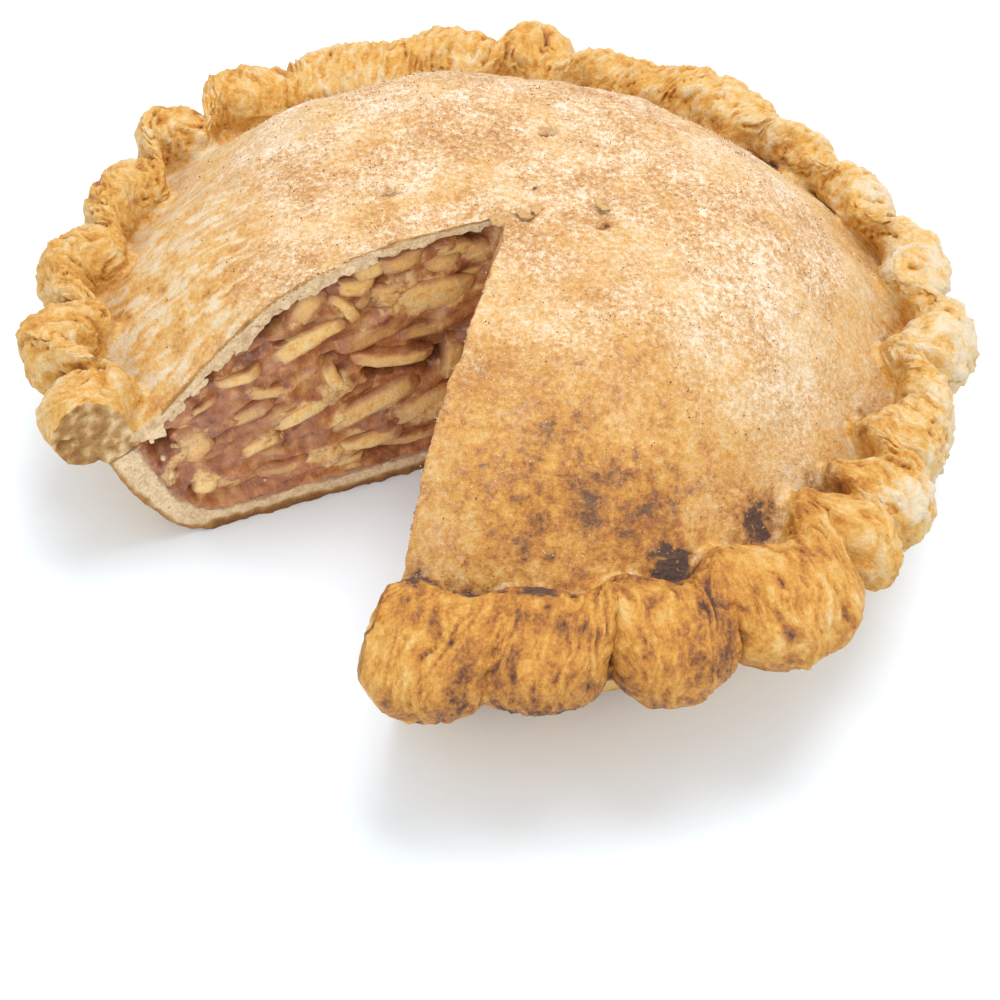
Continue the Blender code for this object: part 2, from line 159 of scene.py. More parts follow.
# Marks that baking left on the top crust: (angle, distance, length round, length out, strength).
SPOTS = (
    (299.0, 94.0, 7.0, 8.5, 1.0),
    (297.0, 99.0, 4.0, 5.0, 0.8),
    (315.5, 93.0, 8.5, 6.0, 0.85),
    (303.0, 86.0, 24.0, 10.0, 0.14),
    (290.0, 80.0, 22.0, 9.0, 0.10),
    (328.0, 98.5, 9.0, 6.5, 0.50),
    (344.0, 101.5, 9.0, 6.5, 0.48),
    (3.0, 107.0, 9.0, 5.5, 0.48),
    (278.0, 98.0, 5.0, 4.5, 1.0),
    (260.8, 95.5, 4.5, 6.0, 1.0),
    (59.0, 107.0, 8.0, 4.5, 0.48),
    (46.0, 109.0, 9.0, 4.5, 0.48),
    (146.0, 105.0, 3.0, 3.0, 0.5),
    (305.0, 126.0, 3.5, 4.0, 0.45),
    (272.0, 119.0, 5.0, 5.0, 0.25),
    (271.0, 95.2, 32.0, 4.2, 0.72),
    (16.0, 110.0, 5.0, 3.0, 0.3),
)
BROWNED = (
    (297.0, 84.0, 24.0, 9.0, 0.22),
    (312.0, 86.0, 16.0, 8.0, 0.20),
    (282.0, 77.0, 22.0, 9.0, 0.22),
    (270.0, 58.0, 30.0, 14.0, 0.18),
    (330.0, 92.0, 18.0, 8.0, 0.08),
    (345.0, 97.0, 14.0, 7.0, 0.06),
    (193.0, 66.0, 20.0, 9.0, 0.16),
    (150.0, 50.0, 24.0, 12.0, 0.12),
    (110.0, 66.0, 30.0, 8.0, 0.14),
)

# Pricks in the lid that let steam out: (angle, distance, half length, half width, turn, depth).
VENTS = (
    (75.8, 36.2, 3.6, 1.7, 10.0, 2.4),
    (169.9, 30.9, 3.4, 1.5, 20.0, 2.0),
    (357.0, 24.3, 2.6, 1.6, 60.0, 2.2),
    (292.0, 52.0, 2.4, 0.9, 30.0, 0.7),
)


def mix(start, end, share):
    """The value a share of the way from start to end."""
    return start + (end - start) * share


def ease(value, low, high):
    """0 below low, 1 above high, and a smooth rise between."""
    share = np.clip((value - low) / (high - low), 0.0, 1.0)
    return share * share * (3.0 - 2.0 * share)


SLOPES = np.array(
    [(1, 1, 0), (-1, 1, 0), (1, -1, 0), (-1, -1, 0), (1, 0, 1), (-1, 0, 1)]
    + [(1, 0, -1), (-1, 0, -1), (0, 1, 1), (0, -1, 1), (0, 1, -1), (0, -1, -1)],
    dtype=np.float64,
)


def noise(points, seed=0):
    """Smooth noise from about -1 to 1 for an array of 3D points, one lump to each unit."""
    cell = np.floor(points)
    part = points - cell
    cell = cell.astype(np.int64)
    fade = part * part * part * (part * (part * 6.0 - 15.0) + 10.0)
    total = np.zeros(len(points))
    for corner in range(8):
        step = np.array([corner & 1, corner >> 1 & 1, corner >> 2 & 1])
        key = (cell + step).astype(np.uint32)
        mixed = key[:, 0] * 374761393 + key[:, 1] * 668265263 + key[:, 2] * 2246822519
        mixed = mixed + np.uint32(seed * 97531 + 12345)
        mixed = (mixed ^ (mixed >> 13)) * np.uint32(1274126177)
        mixed = (mixed ^ (mixed >> 15)) * np.uint32(2654435761)
        slope = SLOPES[(mixed ^ (mixed >> 16)) % 12]
        weight = np.prod(np.where(step == 1, fade, 1.0 - fade), axis=1)
        total += weight * np.sum(slope * (part - step), axis=1)
    return total


def rough(points, size, octaves=3, seed=0, keep=0.5):
    """Layered noise whose largest lumps are the given size."""
    total = np.zeros(len(points))
    for octave in range(octaves):
        total += keep**octave * noise(points * (2.0**octave / size), seed + 31 * octave)
    return total


def polar(angle, radius):
    """The x and y of a place given by its angle and its distance from the axis."""
    turn = np.radians(angle)
    return radius * np.cos(turn), radius * np.sin(turn)


def tilted(x, y, degrees):
    """Coordinates along and across a line that leans by an angle."""
    lean = math.radians(degrees)
    return x * math.cos(lean) + y * math.sin(lean), y * math.cos(lean) - x * math.sin(lean)


def spots_on(along, height, shift=0.0):
    """Places on a cut face for its noise, with a shift that keeps different noises apart."""
    return np.stack([along, height, 0 * along + shift], 1)


def dome_spread(angle):
    """The radius at which the dome's slope would reach its foot, eased between the named angles."""
    starts = np.array([row[0] for row in DOME_SPREAD])
    radii = np.array([row[1] for row in DOME_SPREAD])
    turn = (angle - starts[0]) % 360.0 + starts[0]
    index = np.clip(np.searchsorted(starts, turn, side="right") - 1, 0, len(starts) - 1)
    after = (index + 1) % len(starts)
    span = (starts[after] - starts[index]) % 360.0
    return mix(radii[index], radii[after], 0.5 - 0.5 * np.cos(np.pi * (turn - starts[index]) / span))


def dome(radius, angle):
    """Height of the lid's even face at a distance and angle from the axis, with its swells."""
    share = np.clip(radius / dome_spread(angle), 0.0, 1.0)
    height = DOME_FOOT + (APEX_HEIGHT - DOME_FOOT) * (1.0 - share**DOME_FLATNESS) ** DOME_FALL
    x, y = polar(angle, radius)
    for swell_angle, distance, width, rise in SWELLS:
        swell_x, swell_y = polar(swell_angle, distance)
        apart = ((x - swell_x) ** 2 + (y - swell_y) ** 2) / width**2
        height = height + rise * np.exp(-apart) * (1.0 - share**6)
    return height


def flutes_at(angle):
    """Round the rim: (fullness 0 in a crease to 1 on a crest, place across the flute, depth, reach, lift)."""
    table = np.array(FLUTES)
    ends = table[:, 0]
    turn = angle % 360.0
    turn = np.where(turn > ends[-1], turn - 360.0, turn)
    index = np.searchsorted(ends, turn)
    start = np.where(index == 0, ends[-1] - 360.0, ends[index - 1])
    share = (turn - start) / (ends[index] - start)
    across = np.clip(2.0 * share - 1.0, -1.0, 1.0)
    full = (1.0 - np.abs(across) ** FLUTE_ROUNDNESS) ** FLUTE_FULLNESS
    depth = mix(table[index - 1, 1], table[index, 1], share)
    return full, across, depth, table[index, 2], table[index, 3]


def bell(angle, other, width):
    """A bell over the angles, 1 at the other angle."""
    return np.exp(-((((angle - other + 180.0) % 360.0 - 180.0) / width) ** 2))


def swing_at(angle):
    """How far out the fluted ridge swings: 0 where it lies against the lid, 1 beside the deepest hollows."""
    _, across, depth, _, _ = flutes_at(angle)
    swing = (0.5 + 0.5 * np.cos(np.pi * across)) * (0.35 + 0.65 * ease(depth, 0.3, 5.0))
    return swing * (1.0 - 0.75 * bell(angle, 274.0, 22.0))


def rim_point(angle, turn):
    """Radius and height on the rim's roll, where turn goes from the valley over the top and under."""
    full, across, depth, reach, lift = flutes_at(angle)
    facing = np.radians(turn)
    wave = 0.5 + 0.5 * np.cos(np.pi * across)
    outwards = ease(np.cos(facing), -0.35, 0.75)
    full = mix(wave, full, outwards)
    outer = RIM_RADIUS - RIM_OVAL * np.cos(2.0 * np.radians(angle)) + mix(-depth, reach, full)
    inner = 0.915 * dome_spread(angle) - 1.0 + HOLLOW_WIDTH * swing_at(angle)
    inner = np.minimum(inner, outer - mix(THINNEST_ROLL, LEAST_RIDGE, wave))
    drop = np.minimum(CREASE_DROP + CREASE_DROP_SHARE * depth, DEEPEST_DROP) * mix(0.3, 1.0, outwards)
    drop = drop * (1.0 - 0.6 * bell(angle, 274.0, 22.0))
    top = RIM_TOP + mix(-drop, lift, full)
    underside = RIM_UNDERSIDE + CREASE_LIFT * (1.0 - full)
    radius = (inner + outer) / 2 + (outer - inner) / 2 * np.cos(facing)
    least = WALL_TOP_OUTSIDE[0] + 1.0 + 0.05 * (turn - LAST_TURN)
    radius = np.where(turn < 0.0, np.maximum(radius, least), radius)
    height = (top + underside) / 2 + (top - underside) / 2 * np.sin(facing)
    return radius, height


def top_crust_point(way, angle):
    """Where a point of the flat pastry sheet goes: x, y and z from its way along the section."""
    swing = swing_at(angle)
    first_turn = mix(150.0, 174.0, swing)
    turn = first_turn + (LAST_TURN - first_turn) * (way - VALLEY_RUN) / (RIM_RUN - VALLEY_RUN)
    turn = np.clip(turn, LAST_TURN, first_turn)
    slant = FLUTE_SLANT * np.where(way < VALLEY_RUN, 1.0, 0.5 - 0.5 * np.cos(np.radians(turn)))
    place = angle + slant
    edge_share = mix(0.875, 0.950, swing)

    share = edge_share * np.clip(way / LID_RUN, 0.0, 1.0)
    looked = place - FLUTE_SLANT * (way / LID_RUN) ** 4
    looked = np.where(way < LID_RUN, looked, angle)
    lid_radius = share * dome_spread(looked)
    lid_height = dome(lid_radius, looked)

    rim_radius, rim_height = rim_point(angle, turn)

    # The valley between lid and rim, as one smooth curve that leaves both in their own directions.
    before_radius = (edge_share - 0.01) * dome_spread(angle)
    before_height = dome(before_radius, angle)
    edge_radius = edge_share * dome_spread(angle)
    edge_height = dome(edge_radius, angle)
    near_radius, near_height = rim_point(angle, first_turn)
    next_radius, next_height = rim_point(angle, first_turn - 2.0)
    reach = 1.3 * np.hypot(near_radius - edge_radius, near_height - edge_height) + 1.0
    leave = np.hypot(edge_radius - before_radius, edge_height - before_height)
    arrive = np.hypot(next_radius - near_radius, next_height - near_height)
    t = np.clip((way - LID_RUN) / (VALLEY_RUN - LID_RUN), 0.0, 1.0)
    h00, h10 = 2 * t**3 - 3 * t**2 + 1, t**3 - 2 * t**2 + t
    h01, h11 = -2 * t**3 + 3 * t**2, t**3 - t**2
    valley_radius = h00 * edge_radius + h01 * near_radius
    valley_radius += reach * (h10 * (edge_radius - before_radius) / leave)
    valley_radius += reach * (h11 * (next_radius - near_radius) / arrive)
    valley_height = h00 * edge_height + h01 * near_height
    valley_height += reach * (h10 * (edge_height - before_height) / leave)
    valley_height += reach * (h11 * (next_height - near_height) / arrive)

    seat = np.clip((way - RIM_RUN) / (SEAT_RUN - RIM_RUN), 0.0, 1.0)
    end_radius, end_height = rim_point(angle, np.full_like(angle, LAST_TURN))
    seat_out = (WALL_TOP_OUTSIDE[0], WALL_TOP_OUTSIDE[1] + GAP)
    seat_in = (WALL_TOP_INSIDE[0], WALL_TOP_INSIDE[1] + GAP)
    first, second = np.clip(seat * 3.0, 0.0, 1.0), np.clip((seat * 3.0 - 1.0) / 2.0, 0.0, 1.0)
    seat_radius = mix(mix(end_radius, seat_out[0], first), seat_in[0], second)
    seat_height = mix(mix(end_height, seat_out[1], first), seat_in[1], second)

    roof_radius = WALL_TOP_INSIDE[0] * (1.0 - np.clip((way - SEAT_RUN) / (ROOF_RUN - SEAT_RUN), 0.0, 1.0))
    roof_height = mix(roof_at(roof_radius, place), seat_in[1], ease(roof_radius, 92.0, WALL_TOP_INSIDE[0]))

    runs = [way <= LID_RUN, way <= VALLEY_RUN, way <= RIM_RUN, way <= SEAT_RUN]
    radius = np.select(runs, [lid_radius, valley_radius, rim_radius, seat_radius], roof_radius)
    height = np.select(runs, [lid_height, valley_height, rim_height, seat_height], roof_height)
    x, y = polar(place, radius)
    return np.stack([x, y, height], axis=1)


def roof_at(radius, angle):
    """Height of the lid's underside at a distance and angle from the axis."""
    slope = dome(radius + 0.5, angle) - dome(np.maximum(radius - 0.5, 0.0), angle)
    return dome(radius, angle) - LID_THICKNESS * np.hypot(1.0, np.minimum(np.abs(slope), 1.2))


# Mesh helpers


def select_only(body):
    """Makes one object the only selected and active one."""
    bpy.ops.object.select_all(action="DESELECT")
    body.select_set(True)
    bpy.context.view_layer.objects.active = body


@contextlib.contextmanager
def editing(body, kind="VERT", action="SELECT", choose=None):
    """Edit mode on one object, with all of it, none of it or what a function chooses selected."""
    select_only(body)
    bpy.ops.object.mode_set(mode="EDIT")
    bpy.ops.mesh.select_mode(type=kind)
    bpy.ops.mesh.select_all(action=action)
    if choose:
        bpy.ops.object.mode_set(mode="OBJECT")
        choose()
        bpy.ops.object.mode_set(mode="EDIT")
    yield
    bpy.ops.object.mode_set(mode="OBJECT")


def linked(name, points, edges, faces):
    """A new object in the scene with the given mesh."""
    mesh = bpy.data.meshes.new(name)
    mesh.from_pydata(points, edges, faces)
    body = bpy.data.objects.new(name, mesh)
    bpy.context.scene.collection.objects.link(body)
    return body


def copied(blank):
    """A copy of an object with its own mesh."""
    body = blank.copy()
    body.data = blank.data.copy()
    bpy.context.scene.collection.objects.link(body)
    return body


def joined(pieces, name):
    """Joins pieces into one object with the given name."""
    select_only(pieces[0])
    for piece in pieces:
        piece.select_set(True)
    bpy.ops.object.join()
    pieces[0].name = name
    return pieces[0]


def fetched(items, key, width=1, kind=float):
    """One property of all the given items of a mesh, as an array with a row for each."""
    flat = np.empty(len(items) * width, dtype=kind)
    items.foreach_get(key, flat)
    return flat.reshape(-1, width) if width > 1 else flat


def points_of(body):
    """The vertices of an object as an array."""
    return fetched(body.data.vertices, "co", 3)


def set_points(body, points):
    """Moves the vertices of an object."""
    body.data.vertices.foreach_set("co", np.ascontiguousarray(points).ravel())
    body.data.update()


def normals_of(body):
    """The vertex normals of an object as an array."""
    return fetched(body.data.vertex_normals, "vector", 3)


def face_centres(body):
    """The middle of each face of an object as an array."""
    return fetched(body.data.polygons, "center", 3)


def slots_of(body):
    """The material slot of each face of an object."""
    return fetched(body.data.polygons, "material_index", kind=np.int32)


def select_faces(body, chosen):
    """Leaves edit mode's face selection as the chosen mask says."""
    body.data.vertices.foreach_set("select", np.zeros(len(body.data.vertices), dtype=bool))
    body.data.edges.foreach_set("select", np.zeros(len(body.data.edges), dtype=bool))
    body.data.polygons.foreach_set("select", np.ascontiguousarray(chosen, dtype=bool))


def subdivide_faces(body, chosen):
    """Cuts the chosen faces of an object finer."""
    with editing(body, "FACE", "DESELECT", lambda: select_faces(body, chosen)):
        bpy.ops.mesh.subdivide(number_cuts=1)


def outward(body, near=1e-5):
    """Merges what lies nearer than the given distance and turns all faces outwards."""
    with editing(body):
        bpy.ops.mesh.remove_doubles(threshold=near)
        bpy.ops.mesh.normals_make_consistent(inside=False)


def spun_sheet(name, rows, steps, finer, start, sweep):
    """A flat round sheet, spun from a line of points and cut finer in the named bands."""
    line = [(*polar(start, row), 0.0) for row in rows]
    body = linked(name, line, [(i, i + 1) for i in range(len(rows) - 1)], [])
    with editing(body):
        bpy.ops.mesh.spin(steps=steps, angle=-math.radians(sweep), center=(0, 0, 0), axis=(0, 0, 1))
        bpy.ops.mesh.select_all(action="SELECT")
        bpy.ops.mesh.remove_doubles(threshold=1e-4)
    for low, high in finer:
        centres = face_centres(body)
        far = np.hypot(centres[:, 0], centres[:, 1])
        subdivide_faces(body, (far > low) & (far < high))
    return body


def wedged_sheet(name, rows, steps, finer, place):
    """A sheet without the wedge, laid out by a function of the way along its section and the angle."""
    body = spun_sheet(name, rows, steps, finer, RIGHT_CUT, SWEEP)
    flat = points_of(body)
    way = np.hypot(flat[:, 0], flat[:, 1])
    angle = np.degrees(np.arctan2(flat[:, 1], flat[:, 0])) % 360.0
    set_points(body, place(way, angle))
    add_attribute(body, "way", way)
    add_attribute(body, "round", angle)
    outward(body, 1e-3)
    return body


def runs_along(profile):
    """The way along a profile to each of its points."""
    return np.concatenate([[0.0], np.cumsum(np.hypot(*np.diff(np.array(profile), axis=0).T))])


def add_attribute(body, name, values):
    """Stores a number for each vertex, for the materials to read."""
    attribute = body.data.attributes.new(name, "FLOAT", "POINT")
    attribute.data.foreach_set("value", np.ascontiguousarray(values, dtype=np.float32))


def add_vector(body, name, values):
    """Stores a vector for each vertex, for the materials to read."""
    attribute = body.data.attributes.new(name, "FLOAT_VECTOR", "POINT")
    attribute.data.foreach_set("vector", np.ascontiguousarray(values, dtype=np.float32).ravel())


def read_attribute(body, name):
    """The numbers stored on the vertices."""
    return fetched(body.data.attributes[name].data, "value", kind=np.float32).astype(float)


def write_attribute(body, name, values):
    """Stores new numbers on the vertices."""
    body.data.attributes[name].data.foreach_set("value", np.ascontiguousarray(values, dtype=np.float32))


def cut_vertices(body):
    """Which vertices lie on the cut faces, and which of them on the edge of a cut face."""
    totals = fetched(body.data.polygons, "loop_total", kind=np.int32)
    corners = fetched(body.data.loops, "vertex_index", kind=np.int32)
    slot_of_corner = np.repeat(slots_of(body), totals)
    on_cut = np.zeros(len(body.data.vertices), dtype=bool)
    on_skin = np.zeros(len(body.data.vertices), dtype=bool)
    on_cut[corners[slot_of_corner == 1]] = True
    on_skin[corners[slot_of_corner == 0]] = True
    return on_cut, on_cut & on_skin


def face_place(points, angle, side):
    """Distances from the axis along a cut face, and distances in front of it."""
    turn = math.radians(angle)
    along = points[:, 0] * math.cos(turn) + points[:, 1] * math.sin(turn)
    away = -side * math.sin(turn) * points[:, 0] + side * math.cos(turn) * points[:, 1]
    return along, away


def cap_chain(body, chosen, slot):
    """Closes the open chain of edges between the chosen vertices with faces of the given material."""
    before = len(body.data.polygons)
    with editing(body, action="DESELECT", choose=lambda: body.data.vertices.foreach_set("select", chosen)):
        bpy.ops.mesh.select_mode(type="VERT")
        bpy.ops.mesh.edge_face_add()
    if len(body.data.polygons) != before + 1:
        raise RuntimeError(f"{body.name}: a cut face stayed open")
    slots = slots_of(body)
    slots[before:] = slot
    body.data.polygons.foreach_set("material_index", slots)


def grid_slot(body, spacing):
    """Cuts the faces of the second material into a grid of cells of about the given size."""
    points = points_of(body)
    low, high = points[:, 2].min() + 0.37 * spacing, points[:, 2].max()
    far = np.hypot(points[:, 0], points[:, 1]).max()
    middle = math.radians((LEFT_CUT + RIGHT_CUT) / 2)
    out = (math.cos(middle), math.sin(middle), 0.0)
    planes = [((0.0, 0.0, level), (0.0, 0.0, 1.0)) for level in np.arange(low, high, spacing)]
    planes += [((out[0] * way, out[1] * way, 0.0), out) for way in np.arange(spacing, far, spacing * 0.9)]
    body.active_material_index = 1
    with editing(body, "FACE"):
        for place, way in planes:
            bpy.ops.mesh.select_all(action="DESELECT")
            bpy.ops.object.material_slot_select()
            bpy.ops.mesh.bisect(plane_co=place, plane_no=way)


def close_cuts(body, spacing):
    """Closes both cut faces of a sheet in its second material, and cuts them fine."""
    way, angle = read_attribute(body, "way"), read_attribute(body, "round")
    ends = (way < 0.01) | (way > way.max() - 0.01)
    cap_chain(body, ends | (np.abs(angle - RIGHT_CUT) < 0.02), 1)
    cap_chain(body, ends | (np.abs(angle - LEFT_CUT) < 0.02), 1)
    grid_slot(body, spacing)
    outward(body)
    for name in ("way", "round"):
        body.data.attributes.remove(body.data.attributes[name])


def roughen_cut(body, reliefs, reach):
    """Makes the left and right cut faces and the skin beside them as uneven as the two reliefs say."""
    points = points_of(body)
    moved = points.copy()
    for (angle, side), relief in zip(CUTS, reliefs):
        along, away = face_place(points, angle, side)
        turn = math.radians(angle)
        near = (along > 0.0) * (1.0 - ease(np.abs(away), 0.8, reach)) * ease(along, 1.5, 9.0)
        amount = relief(along, points[:, 2]) * near
        moved[:, 0] -= amount * side * math.sin(turn)
        moved[:, 1] += amount * side * math.cos(turn)
    set_points(body, moved)


def finish_mesh(body, sharp=42.0):
    """Moves a piece from the pie's axis to the frame, in metres, and shades it smooth between sharp edges."""
    body.data.transform(Matrix.Diagonal((MM, MM, MM, 1.0)) @ Matrix.Translation(AXIS))
    select_only(body)
    bpy.ops.object.shade_smooth_by_angle(angle=math.radians(sharp))
    body.select_set(False)
    body.data.update()


# Material helpers


def new_material(name):
    """A material with a Principled shader, and its nodes and links."""
    material = bpy.data.materials.new(name)
    material.use_nodes = True
    tree = material.node_tree
    return material, tree, tree.nodes["Principled BSDF"]


def add_node(tree, kind, **settings):
    """A node with its settings and its unlinked inputs."""
    node = tree.nodes.new(kind)
    inputs = settings.pop("inputs", {})
    for key, value in settings.items():
        setattr(node, key, value)
    for key, value in inputs.items():
        node.inputs[key].default_value = value
    return node


def noise_node(tree, vector, size, detail=4.0, roughness=0.55):
    """Noise whose largest lumps are the given size in millimetres."""
    settings = {"Scale": 1.0 / (size * MM), "Detail": detail, "Roughness": roughness}
    node = add_node(tree, "ShaderNodeTexNoise", inputs=settings)
    tree.links.new(vector, node.inputs["Vector"])
    return node.outputs["Fac"]


def cells_node(tree, vector, size):
    """Distance from the middles of scattered cells of the given size in millimetres."""
    node = add_node(tree, "ShaderNodeTexVoronoi", inputs={"Scale": 1.0 / (size * MM)})
    tree.links.new(vector, node.inputs["Vector"])
    return node.outputs["Distance"]


def maths(tree, operation, first, second):
    """One sum on sockets or numbers."""
    node = add_node(tree, "ShaderNodeMath", operation=operation)
    for index, value in enumerate((first, second)):
        if isinstance(value, (int, float)):
            node.inputs[index].default_value = value
        else:
            tree.links.new(value, node.inputs[index])
    return node.outputs[0]


def total(tree, first, *others, clamp=False):
    """The sum of sockets and numbers, held from 0 to 1 if asked."""
    for value in others:
        first = maths(tree, "ADD", first, value)
    first.node.use_clamp = clamp
    return first


def product(tree, first, *others):
    """The product of sockets and numbers."""
    for value in others:
        first = maths(tree, "MULTIPLY", first, value)
    return first


def span(tree, value, low, high, start=0.0, end=1.0):
    """The value's range from low to high, moved to start to end and held there."""
    node = add_node(tree, "ShaderNodeMapRange", clamp=True, interpolation_type="SMOOTHSTEP")
    tree.links.new(value, node.inputs["Value"])
    for key, number in zip(("From Min", "From Max", "To Min", "To Max"), (low, high, start, end)):
        node.inputs[key].default_value = number
    return node.outputs["Result"]


def ramp(tree, value, stops):
    """Colours along a value: (place, colour) pairs."""
    node = add_node(tree, "ShaderNodeValToRGB")
    elements = node.color_ramp.elements
    while len(elements) < len(stops):
        elements.new(0.5)
    for element, (place, colour) in zip(elements, stops):
        element.position = place
        element.color = (*colour, 1.0)
    tree.links.new(value, node.inputs["Fac"])
    return node.outputs["Color"]


def blend(tree, first, second, factor):
    """Two colours mixed by a factor. Each may be a socket or a colour."""
    node = add_node(tree, "ShaderNodeMix", data_type="RGBA", clamp_factor=True)
    tree.links.new(factor, node.inputs[0])
    for index, value in ((6, first), (7, second)):
        if isinstance(value, tuple):
            node.inputs[index].default_value = (*value, 1.0)
        else:
            tree.links.new(value, node.inputs[index])
    return node.outputs[2]


def bump(tree, shader, height, depth, strength=1.0):
    """Fine relief of the given depth in millimetres."""
    node = add_node(tree, "ShaderNodeBump", inputs={"Strength": strength, "Distance": depth * MM})
    tree.links.new(height, node.inputs["Height"])
    tree.links.new(node.outputs["Normal"], shader.inputs["Normal"])


def around(tree, value, amount):
    """How far a value is from a half, times an amount."""
    return maths(tree, "MULTIPLY", maths(tree, "SUBTRACT", value, 0.5), amount)


def attribute(tree, name):
    """A number stored on the piece's vertices."""
    return add_node(tree, "ShaderNodeAttribute", attribute_name=name).outputs["Fac"]


def place_of(tree):
    """The piece's own coordinates."""
    return add_node(tree, "ShaderNodeTexCoord").outputs["Object"]


# Sizes and colours that a user may change


class PieCrust(bpy.types.PropertyGroup):
    """Baking of the two crusts."""

    flake_depth: bpy.props.FloatProperty(
        name="Flake depth", description="How deep the rim's flaky ridges are, in millimetres", default=0.75
    )
    lump_height: bpy.props.FloatProperty(
        name="Lump height", description="How far fruit pushes the lid up in lumps, in millimetres", default=0.75
    )
    pale: bpy.props.FloatVectorProperty(
        name="Pale", description="Least baked pastry", subtype="COLOR", default=(0.76, 0.51, 0.215)
    )
    golden: bpy.props.FloatVectorProperty(
        name="Golden", description="Well baked pastry", subtype="COLOR", default=(0.70, 0.372, 0.078)
    )
    brown: bpy.props.FloatVectorProperty(
        name="Brown", description="Deeply baked pastry", subtype="COLOR", default=(0.36, 0.14, 0.036)
    )
    crumb: bpy.props.FloatVectorProperty(
        name="Crumb", description="Pastry where it is cut", subtype="COLOR", default=(0.95, 0.73, 0.46)
    )


class PieFilling(bpy.types.PropertyGroup):
    """Fruit and sauce."""

    sauce: bpy.props.FloatVectorProperty(
        name="Sauce", description="Cooked sauce", subtype="COLOR", default=(0.385, 0.134, 0.050)
    )
    fruit: bpy.props.FloatVectorProperty(
        name="Fruit", description="Cooked fruit slices", subtype="COLOR", default=(0.94, 0.58, 0.19)
    )
    small_slices: bpy.props.IntProperty(
        name="Small slices", description="Half-covered slices on each cut face", default=9, min=0
    )


class PieTopping(bpy.types.PropertyGroup):
    """Sugar, spice and crumbs."""

    grains: bpy.props.IntProperty(
        name="Sugar grains", description="Loose sugar grains on the lid", default=9000, min=0
    )
    specks: bpy.props.IntProperty(
        name="Spice specks", description="Specks of ground spice on the lid", default=1500, min=0
    )


class PieStage(bpy.types.PropertyGroup):
    """Floor and light."""

    floor: bpy.props.FloatVectorProperty(
        name="Floor", description="Colour of the floor", subtype="COLOR", default=(0.84, 0.92, 0.99)
    )
    sky: bpy.props.FloatProperty(name="Sky", description="Strength of the soft light all round", default=0.98)
    key: bpy.props.FloatProperty(name="Key", description="Power of the main light in watts", default=9.5)


# The top crust


